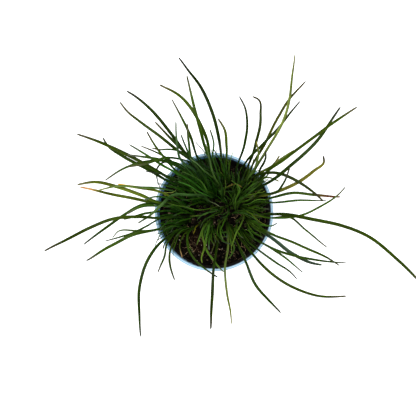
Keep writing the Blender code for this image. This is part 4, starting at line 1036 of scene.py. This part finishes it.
def leafMaterial():
    # the mesh's tint times soft patches and the streaks along the veins, with pale flecks over it
    made, tree, shader = startMaterial("fresh leaf", Roughness=0.5, Specular_IOR_Level=leafLook["specular"])
    vein = addGroup(tree, veins, Place=readAttribute(tree, "place", "Vector"), Count=leafLook["veins"])
    spots = addGroup(tree, flecks, Vector=objectPlace(tree), Size=900.0, Amount=0.34)
    patch = addGroup(tree, mottle, Vector=objectPlace(tree), Size=160.0, Low=0.80, High=1.22)
    streaks = addRange(tree, vein["Streak"], 0.25, 0.75, *leafLook["streakShade"])
    shade = addMath(tree, "MULTIPLY", patch["Value"], streaks)
    shaded = addScale(tree, readAttribute(tree, "tint", "Color"), shade)
    dusty = addMath(tree, "MULTIPLY", spots["Mask"], leafLook["dusting"])
    tree.links.new(addMix(tree, dusty, shaded, leafLook["dust"]), shader.inputs["Base Color"])
    rough = addRange(tree, vein["Streak"], 0.2, 0.8, *leafLook["roughness"])
    tree.links.new(rough, shader.inputs["Roughness"])
    addBump(tree, shader, vein["Height"], 0.55, leafLook["veinHeight"])
    return made


def makeShoots():
    # one piece for each shoot: its stem, its leaves and the thinner leaves beside them
    random = np.random.default_rng(leafShape["seed"])
    packed = settledPaths()
    beside, besideWidth, besideOwners, besideLooks = besideBlades(packed, random)
    inFront = np.array([list(shoots)[number].startswith("shoot_front_") for number in owners])
    foot = np.where(inFront, leafShape["frontFoot"], leafShape["drawnFoot"])[:, None]
    foot[np.array(kinds) == "soft"] = leafShape["softFoot"]
    blades = bladeTubes(packed, share, leafWidth, foot, kinds, leafShape["around"], random)
    blades += bladeTubes(beside, besideShare, besideWidth, besideShape["foot"], besideLooks,
                         besideShape["around"], random)
    owner = np.concatenate([owners, besideOwners])
    material = leafMaterial()
    for number, name in enumerate(shoots):
        tubes = [blades[leaf] for leaf in np.flatnonzero(owner == number)] + [stemTube(number)]
        rings, tints, places = zip(*tubes)
        tint, place = (np.vstack([tubeCorners(part) for part in parts]) for parts in (tints, places))
        piece = makePiece(name.replace("shoot", "chives"), *joinTubes(rings), tint, place)
        piece.data.materials.append(material)
        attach(piece, "root")
        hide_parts(name)
    print("leaves:", len(packed), "and", len(beside), "thinner ones beside them")


makeShoots()
print("shoots made:", len(shoots))


# The pot

potShape = {
    "baseDiameter": 0.073,
    "wall": 0.0014,
    "wallMiddle": 0.6,  # past this share of the wall the inside's looks begin
    "floor": 0.0022,
    "lipWidth": 0.0023,
    "lipHeight": 0.008,
    "lipStep": 0.0012,
    "around": 192,
    "holeDiameter": 0.008,
    "holeCircle": 0.026,
    "holes": 4,
    "footIn": 0.0040,  # from the base's edge to the outermost ring under it
    "edgeRise": 0.0004,
    "edgeRounding": 0.0012,
    "lowRing": 0.012,
    "stepUnder": 0.0008,  # the wall ends this far under the lip
    "stepRounding": 0.0003,
    "lipSag": 0.0001,
    "lipLean": 0.0005,
    "lipRounding": (0.0010, 0.0009),  # outside and inside
    "shoulderRounding": 0.0010,
    "floorRounding": 0.0008,
    "floorEdge": 0.034,
    "floorRings": (0.0315, 0.0205, 0.012, 0.004),
    "roundingSteps": 7,
    "sharpFrom": 38,  # degrees
    "blue": (0.385, 0.575, 0.715),
    "shadeBlue": (0.31, 0.50, 0.665),
    "wallShadeBlue": (0.16, 0.48, 0.92),
    "nearBlack": (0.0034, 0.0026, 0.0018),
    "darkBrown": (0.026, 0.017, 0.011),
    "wallShadeFrom": (0.0862, 0.0950),  # painted shade in a deeper blue, all of it below the first height
    "darkBandTop": (0.0932, 0.0958),
    "darkBandLean": 0.085,  # how much higher the line is for each metre towards the front right
    "ragged": 0.008,
    "blotchSize": 620.0,
    "wallShadeLeast": 0.15,
    "splashTop": (0.004, 0.018),  # dirt on the outside fades out between these heights
    "splash": 0.16,
    "grain": 1600.0,
    "grainDepth": 0.00005,
}


def wallRadius(height):
    # a straight taper from the base to just under the rim
    base = potShape["baseDiameter"] / 2
    return base + (rimDiameter / 2 - potShape["lipStep"] - base) * height / potHeight


def innerRadius(height, gap=0.0):
    return wallRadius(height) - potShape["wall"] - gap


def roundedProfile(corners):
    # each corner becomes a quadratic arc that starts and ends its own rounding away from it
    points = []
    for before, (x, z, rounding), after in zip([corners[0]] + corners[:-1], corners, corners[1:] + [corners[-1]]):
        corner = np.array([x, z])
        if rounding == 0:
            points.append(corner[None, :])
            continue
        ends = [corner + (np.array(near[:2]) - corner) * rounding / math.dist(near[:2], (x, z))
                for near in (before, after)]
        t = np.linspace(0, 1, potShape["roundingSteps"])[:, None]
        points.append((1 - t)**2 * ends[0] + 2 * t * (1 - t) * corner + t**2 * ends[1])
    return np.vstack(points)


def potProfile():
    # each corner's radius, height and rounding: up the outside, over the lip, and down the inside to the floor
    rim, floor = rimDiameter / 2, potShape["floor"]
    lipFoot = potHeight - potShape["lipHeight"]
    middle, under = lipFoot * 0.5, lipFoot - potShape["stepUnder"]
    lowRing, edgeRise = potShape["lowRing"], potShape["edgeRise"]
    outerLip, innerLip = potShape["lipRounding"]
    return roundedProfile([
        (wallRadius(0) - potShape["footIn"], 0.0, 0),
        (wallRadius(edgeRise), 0.0, potShape["edgeRounding"]),
        (wallRadius(lowRing), lowRing, 0),
        (wallRadius(middle), middle, 0),
        (wallRadius(under), under, potShape["stepRounding"]),
        (rim - potShape["lipLean"], lipFoot - potShape["lipSag"], potShape["stepRounding"]),
        (rim, potHeight, outerLip),
        (rim - potShape["lipWidth"], potHeight, innerLip),
        (innerRadius(lipFoot), lipFoot, potShape["shoulderRounding"]),
        (innerRadius(middle), middle, 0),
        (innerRadius(floor), floor, potShape["floorRounding"]),
        (potShape["floorEdge"], floor, 0),
    ])


def makePot():
    # the profile turned about Z, closed by flat rings under and over the floor, with the drain holes cut through
    angle = circle(potShape["around"])
    over = np.array([[radius, 0.0] for radius in potShape["floorRings"]])
    profile = np.vstack([over[::-1], potProfile(), over + [0, potShape["floor"]]])
    rings = np.stack([profile[:, :1] * np.cos(angle), profile[:, :1] * np.sin(angle),
                      np.repeat(profile[:, 1:], len(angle), axis=1)], axis=-1)
    rough = makePiece("potTurned", *joinTubes([rings]))
    for number in range(potShape["holes"]):
        turn = math.tau * (number + 0.5) / potShape["holes"]
        bpy.ops.mesh.primitive_cylinder_add(vertices=48, radius=potShape["holeDiameter"] / 2, depth=0.02)
        hole = bpy.context.object
        hole.location = (potShape["holeCircle"] * math.cos(turn), potShape["holeCircle"] * math.sin(turn), 0)
        cut = rough.modifiers.new("hole", "BOOLEAN")
        cut.object = hole
        cut.operation = "DIFFERENCE"
        cut.solver = "EXACT"
    mesh = bpy.data.meshes.new_from_object(rough.evaluated_get(bpy.context.evaluated_depsgraph_get()))
    for step in list(rough.modifiers):
        bpy.data.objects.remove(step.object)
    bpy.data.objects.remove(rough)
    mesh.name = "pot"
    mesh.materials.clear()
    pot = newObject("bluePot", mesh)
    mesh.shade_smooth()
    mesh.set_sharp_from_angle(angle=math.radians(potShape["sharpFrom"]))
    pot.data.materials.append(potMaterial())
    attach(pot, "root")
    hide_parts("pot")


def potMaterial():
    # pale blue, turning a deeper blue low on the inside as painted shade, and near black in blotches up to a ragged
    # line that slants higher towards the front right
    made, tree, shader = startMaterial("pale blue plastic", Roughness=0.44, Specular_IOR_Level=0.22)
    place = objectPlace(tree)
    x, y, z = addNode(tree, "ShaderNodeSeparateXYZ", {0: place}).outputs
    squares = addMath(tree, "ADD", addMath(tree, "MULTIPLY", x, x), addMath(tree, "MULTIPLY", y, y))
    reach = addMath(tree, "SQRT", squares)
    slope = (wallRadius(potHeight) - wallRadius(0)) / potHeight
    middle = addMath(tree, "MULTIPLY_ADD", z, slope, wallRadius(0) - potShape["wall"] * potShape["wallMiddle"])
    inside = addRange(tree, addMath(tree, "SUBTRACT", middle, reach), 0.0, 0.0004, 0.0, 1.0)
    outside = addMath(tree, "SUBTRACT", 1.0, inside)
    soft = addGroup(tree, mottle, Vector=place, Size=38.0, Low=0.0, High=1.0)["Value"]
    blue = addMix(tree, soft, potShape["blue"], potShape["shadeBlue"])
    # painted shade: the inside's blue deepens towards the soil
    damp = addMath(tree, "MULTIPLY", addRange(tree, z, *potShape["wallShadeFrom"], 1.0, potShape["wallShadeLeast"]), inside)
    blue = addMix(tree, damp, blue, potShape["wallShadeBlue"])
    # near black and dark brown blotches on the inside, up to a ragged line that is higher towards the front right
    leaning = addMath(tree, "MULTIPLY_ADD", addMath(tree, "SUBTRACT", y, x), potShape["darkBandLean"], z)
    ragged = addMath(tree, "MULTIPLY_ADD", addNoise(tree, place, 260.0, 5.0), potShape["ragged"], leaning)
    low = addMath(tree, "MULTIPLY", addRange(tree, ragged, *potShape["darkBandTop"], 1.0, 0.0), inside)
    blotches = addGroup(tree, mottle, Vector=place, Size=potShape["blotchSize"], Low=-0.3, High=1.1)["Value"]
    patchy = addMath(tree, "MULTIPLY_ADD", soft, 0.012, z)
    splash = addRange(tree, patchy, *potShape["splashTop"], potShape["splash"], 0.0)
    darkening = addMath(tree, "ADD", low, addMath(tree, "MULTIPLY", splash, outside))
    darkBrown = addMix(tree, blotches, potShape["nearBlack"], potShape["darkBrown"])
    tree.links.new(addMix(tree, darkening, blue, darkBrown), shader.inputs["Base Color"])
    rough = addGroup(tree, mottle, Vector=place, Size=420.0, Low=0.38, High=0.54)["Value"]
    tree.links.new(addMath(tree, "MULTIPLY_ADD", low, 0.5, rough), shader.inputs["Roughness"])
    addBump(tree, shader, addNoise(tree, place, potShape["grain"], 3.0), 0.25, potShape["grainDepth"])
    return made


makePot()
print("pot made")


# The soil

soilLook = {
    "redAt": (196, 243),  # in the view
    "redReach": 0.0065,
    "dark": (0.0026, 0.0020, 0.0013),
    "red": (0.0095, 0.0042, 0.0022),
    "least": 0.4,
    "patches": (0.0022, 3, 1.4),  # the small patches' size, seed and strength
    "broadPatches": (0.006, 4, 0.4),
    "specks": (0.10, 0.074, 0.046),
    "speckStrength": 0.28,
}


def soilMaterial(name, roughness, bump):
    # the mesh's tint times a fine and a coarse mottle, with pale flecks over it
    made, tree, shader = startMaterial(name, Roughness=roughness, Specular_IOR_Level=0.03)
    place = objectPlace(tree)
    fine = addGroup(tree, mottle, Vector=place, Size=900.0, Low=0.30, High=1.7)["Value"]
    coarse = addGroup(tree, mottle, Vector=place, Size=330.0, Low=0.35, High=1.6)["Value"]
    shaded = addScale(tree, readAttribute(tree, "tint", "Color"), addMath(tree, "MULTIPLY", fine, coarse))
    specks = addGroup(tree, flecks, Vector=place, Size=2100.0, Amount=0.20)["Mask"]
    specks = addMath(tree, "MULTIPLY", specks, soilLook["speckStrength"])
    tree.links.new(addMix(tree, specks, shaded, soilLook["specks"]), shader.inputs["Base Color"])
    addBump(tree, shader, addNoise(tree, place, 1500.0, 6.0), bump, 0.0003)
    return made


def soilTint(points, random, spread):
    # dark brown, redder about one patch of the view, times: least + small patches squared + broad patches
    away = ((points - seenAt([soilLook["redAt"]], soilShape["level"])) ** 2).sum(axis=1)
    red = np.exp(-away / (2 * soilLook["redReach"]**2))[:, None]
    base = np.array(soilLook["dark"]) * (1 - red) + np.array(soilLook["red"]) * red
    (size, seed, strength), (broadSize, broadSeed, broadStrength) = soilLook["patches"], soilLook["broadPatches"]
    light = (soilLook["least"] + strength * latticeNoise(points, size, seed)[:, None]**2
             + broadStrength * latticeNoise(points, broadSize, broadSeed)[:, None])
    return base * light * random.uniform(1 - spread, 1 + spread, (len(points), 1))


def makeSoil():
    # rings from the middle out over the surface, then down the inside of the pot to its floor
    random = np.random.default_rng(soilShape["seed"])
    angle = circle(soilShape["around"])
    gap, bottom = soilShape["wallGap"], soilShape["bottom"]
    edge = innerRadius(soilShape["level"], gap)
    reach = edge * np.linspace(soilShape["middle"], 1, soilShape["rings"])
    x, y = reach[:, None] * np.cos(angle), reach[:, None] * np.sin(angle)
    top = np.column_stack([x.ravel(), y.ravel()])
    rings = np.column_stack([top, lumpyHeight(top)]).reshape(len(reach), len(angle), 3)
    rings[-1, :, :2] *= (innerRadius(rings[-1, :, 2], gap) / edge)[:, None]
    down = [np.column_stack([innerRadius(height, gap) * np.cos(angle), innerRadius(height, gap) * np.sin(angle),
                             np.full(len(angle), height)])
            for height in np.linspace(soilShape["downFrom"], bottom, soilShape["downSteps"])]
    low = np.column_stack([soilShape["lowMiddle"] * down[-1][:, :2], np.full(len(angle), bottom)])
    corners, faces = joinTubes([np.concatenate([rings, np.array(down + [low])])[::-1]])
    bed = makePiece("soilBed", corners, faces, soilTint(corners[:, :2], random, soilShape["tintSpread"]))
    bed.data.materials.append(soilMaterial("damp potting soil", soilShape["roughness"], soilShape["bump"]))
    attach(bed, "root")
    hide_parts("soil")


makeSoil()
print("soil made")


crumbShape = {
    "seed": 19,
    "count": 4400,
    "fromWall": 0.0022,
    "least": 0.00025,  # the smallest crumb and the largest
    "most": 0.0014,
    "sizePower": 2.6,
    "jitter": 0.28,
    "stretch": (0.65, 1.25),
    "sunk": 0.35,  # a crumb's middle stands this share of its size over the soil
    "tintSpread": 0.55,
    "brownShare": 0.24,
    "brown": ((0.015, 0.010, 0.006), (0.4, 1.6)),  # the colour, and the least and most it is multiplied by
    "tanShare": 0.04,
    "tan": ((0.105, 0.074, 0.042), (0.3, 1.2)),
    "grains": ((199, 255), (206, 245), (222, 249), (211, 253), (179.5, 240), (228, 181.5), (230.5, 182)),
    "grainSize": (0.0006, 0.0009),
    "looseGrains": 26,
    "looseSize": (0.0003, 0.0006),
    "grainJitter": 0.18,
    "pale": ((0.42, 0.37, 0.30), (0.6, 1.15)),
}


def spotsOnSoil(random, count, within):
    # even over the disc, since the radius goes by the square root of chance; none on a stem
    reach = within * np.sqrt(random.uniform(0, 1, count))
    angle = random.uniform(0, math.tau, count)
    spots = np.column_stack([reach * np.cos(angle), reach * np.sin(angle)])
    away = np.linalg.norm(spots[:, None, :] - feet[None, :, :], axis=2).min(axis=1)
    return spots[away > stemShape["footRadius"]]


def makeLumps(name, spots, sizes, tints, random, material, jitter):
    # an icosahedron for each spot: its corners moved in or out by chance, stretched, turned, and set on the soil
    gold = (1 + 5**0.5) / 2
    base = np.array([(0, s, t * gold) for s in (-1, 1) for t in (-1, 1)])
    base = np.vstack([base, base[:, [1, 2, 0]], base[:, [2, 0, 1]]]) / math.hypot(1, gold)
    solid = bmesh.new()
    for corner in base:
        solid.verts.new(corner)
    hull = bmesh.ops.convex_hull(solid, input=solid.verts)
    bmesh.ops.recalc_face_normals(solid, faces=solid.faces)
    solid.verts.index_update()
    triangles = np.array([[corner.index for corner in face.verts] for face in hull["geom"]
                          if isinstance(face, bmesh.types.BMFace)])
    solid.free()
    count, sides = len(spots), len(base)
    corners = base[None] * random.uniform(1 - jitter, 1 + jitter, (count, sides, 1))
    corners = corners * random.uniform(*crumbShape["stretch"], (count, 1, 3)) * sizes[:, None, None]
    turns, _ = np.linalg.qr(random.normal(size=(count, 3, 3)))
    turns[:, :, 0] *= np.sign(np.linalg.det(turns))[:, None]
    corners = np.einsum("nij,nkj->nki", turns, corners)
    middle = np.column_stack([spots, lumpyHeight(spots) + sizes * crumbShape["sunk"]])
    corners = (corners + middle[:, None, :]).reshape(-1, 3)
    faces = (triangles[None] + sides * np.arange(count)[:, None, None]).reshape(-1, 3)
    piece = makePiece(name, corners, faces.tolist(), np.repeat(tints, sides, axis=0), smooth=False)
    piece.data.materials.append(material)
    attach(piece, "root")


def makeCrumbs():
    # dark crumbs, small ones more often by a power of chance, some brown or tan; then pale grains
    random = np.random.default_rng(crumbShape["seed"])
    within = innerRadius(soilShape["level"], crumbShape["fromWall"])
    spots = spotsOnSoil(random, crumbShape["count"], within)
    least, most = crumbShape["least"], crumbShape["most"]
    sizes = least + (most - least) * random.uniform(0, 1, len(spots))**crumbShape["sizePower"]
    tints = soilTint(spots, random, crumbShape["tintSpread"])
    sort = random.uniform(0, 1, len(spots))
    tan = sort < crumbShape["tanShare"]
    brown = ~tan & (sort < crumbShape["tanShare"] + crumbShape["brownShare"])
    for chosen, (colour, lightness) in ((tan, crumbShape["tan"]), (brown, crumbShape["brown"])):
        tints[chosen] = np.array(colour) * random.uniform(*lightness, (chosen.sum(), 1))
    crumbs = soilMaterial("peat crumbs", roughness=0.96, bump=0.6)
    makeLumps("soilCrumbs", spots, sizes, tints, random, crumbs, crumbShape["jitter"])
    noted = seenAt(crumbShape["grains"], soilShape["level"])
    loose = spotsOnSoil(random, crumbShape["looseGrains"], within)
    spots = np.vstack([noted, loose])
    sizes = np.concatenate([random.uniform(*crumbShape["grainSize"], len(noted)),
                            random.uniform(*crumbShape["looseSize"], len(loose))])
    colour, lightness = crumbShape["pale"]
    tints = np.array(colour) * random.uniform(*lightness, (len(spots), 1))
    grit = soilMaterial("pale grit", roughness=0.85, bump=0.4)
    makeLumps("paleGrains", spots, sizes, tints, random, grit, crumbShape["grainJitter"])


makeCrumbs()
print("crumbs and grains made")


fibreShape = {
    "seed": 23,
    "count": 110,
    "within": 0.043,
    "fromWall": 0.001,
    "stations": 9,
    "around": 5,
    "radius": 0.00013,
    "thickness": (0.6, 1.5),
    "thinning": 1.5,  # of the radius towards the ends, by the square of the way
    "shortest": 0.004,
    "longest": 0.013,
    "bend": 1.6,
    "wander": 0.5,
    "wanderTurns": (6, 14),
    "over": 0.00025,
    "arch": 0.0006,
    "archTurns": (3, 8),
    "nests": ((258, 222), (237, 258), (200, 246)),
    "nestFibres": 6,
    "nestReach": 0.0028,
    "brown": (0.30, 0.20, 0.11),
    "lightness": (0.25, 1.1),
}


def makeFibres():
    # thin tubes along short wandering paths that lie on the soil
    random = np.random.default_rng(fibreShape["seed"])
    spots = spotsOnSoil(random, fibreShape["count"], fibreShape["within"])
    nests = np.repeat(seenAt(fibreShape["nests"], soilShape["level"]), fibreShape["nestFibres"], axis=0)
    spots = np.vstack([spots, nests + random.normal(0, fibreShape["nestReach"], nests.shape)])
    count, stations, bend = len(spots), fibreShape["stations"], fibreShape["bend"]
    along = np.linspace(-0.5, 0.5, stations)
    length = random.uniform(fibreShape["shortest"], fibreShape["longest"], (count, 1))
    heading = random.uniform(0, math.tau, (count, 1)) + random.uniform(-bend, bend, (count, 1)) * along
    wander = along * random.uniform(*fibreShape["wanderTurns"], (count, 1)) + random.uniform(0, 6, (count, 1))
    heading = heading + fibreShape["wander"] * np.sin(wander)
    step = length / (stations - 1)
    x = spots[:, :1] + np.cumsum(np.cos(heading) * step, axis=1)
    y = spots[:, 1:] + np.cumsum(np.sin(heading) * step, axis=1)
    most = innerRadius(soilShape["level"], fibreShape["fromWall"]) / np.maximum(np.hypot(x, y), 1e-6)
    x, y = x * np.minimum(most, 1), y * np.minimum(most, 1)
    z = lumpyHeight(np.column_stack([x.ravel(), y.ravel()])).reshape(x.shape) + fibreShape["over"]
    arch = np.abs(np.sin(along * random.uniform(*fibreShape["archTurns"], (count, 1))))
    paths = np.stack([x, y, z + arch * fibreShape["arch"]], axis=-1)
    way = unit(np.gradient(paths, axis=1))
    side = unit(np.cross(way, [0, 0, 1.0]))
    up = np.cross(side, way)
    angle = circle(fibreShape["around"])[:, None]
    thick = fibreShape["radius"] * random.uniform(*fibreShape["thickness"], (count, 1))
    radius = (thick * (1 - fibreShape["thinning"] * np.abs(along)**2))[:, :, None, None]
    rings = paths[:, :, None] + radius * (side[:, :, None] * np.cos(angle) - up[:, :, None] * np.sin(angle))
    corners, faces = joinTubes(rings)
    tone = random.uniform(*fibreShape["lightness"], (count, 1)) * np.array(fibreShape["brown"])
    piece = makePiece("soilFibres", corners, faces, np.repeat(tone, len(corners) // count, axis=0))
    piece.data.materials.append(soilMaterial("dry fibres", roughness=0.8, bump=0.3))
    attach(piece, "root")


makeFibres()
print("fibres made")


# The floor and the light

studio = {
    "worldStrength": 0.12,
    "keyPower": 46.0,
    "keyAt": (-0.16, 0.20, 1.8),
    "keySize": 0.9,
    "fillPower": 7.0,
    "fillAt": (1.3, -1.1, 1.2),
    "fillSize": 1.6,
    "floor": (0.90, 0.90, 0.90),
    "floorGlow": 0.62,
    "floorSize": 30,
    "floorUnder": 0.0002,  # under the pot's base
    "white": (1.0, 1.0, 1.0, 1.0),
}


def makeLight(name, power, at, size):
    data = bpy.data.lights.new(name, "AREA")
    data.energy = power
    data.size = size
    light = newObject(name, data)
    light.location = at
    towards = Vector((0, 0, potHeight)) - Vector(at)
    light.rotation_euler = towards.to_track_quat("-Z", "Y").to_euler()


def makeStudio():
    # a faint white world, a lamp over the pot, a weaker one from the side, and a pale floor under it
    world = bpy.data.worlds.new("studio")
    world.use_nodes = True
    background = world.node_tree.nodes["Background"]
    background.inputs["Color"].default_value = studio["white"]
    background.inputs["Strength"].default_value = studio["worldStrength"]
    bpy.context.scene.world = world
    makeLight("key", studio["keyPower"], studio["keyAt"], studio["keySize"])
    makeLight("fill", studio["fillPower"], studio["fillAt"], studio["fillSize"])
    bpy.ops.mesh.primitive_plane_add(size=studio["floorSize"], location=(0, 0, -studio["floorUnder"]))
    floor = bpy.context.object
    floor.name = "floor"
    made, _, shader = startMaterial("pale floor", Roughness=0.9, Specular_IOR_Level=0.1)
    shader.inputs["Base Color"].default_value = (*studio["floor"], 1.0)
    shader.inputs["Emission Color"].default_value = studio["white"]
    shader.inputs["Emission Strength"].default_value = studio["floorGlow"]
    floor.data.materials.append(made)
    bpy.context.scene.view_settings.view_transform = "Standard"


makeStudio()
print("floor and lights made")
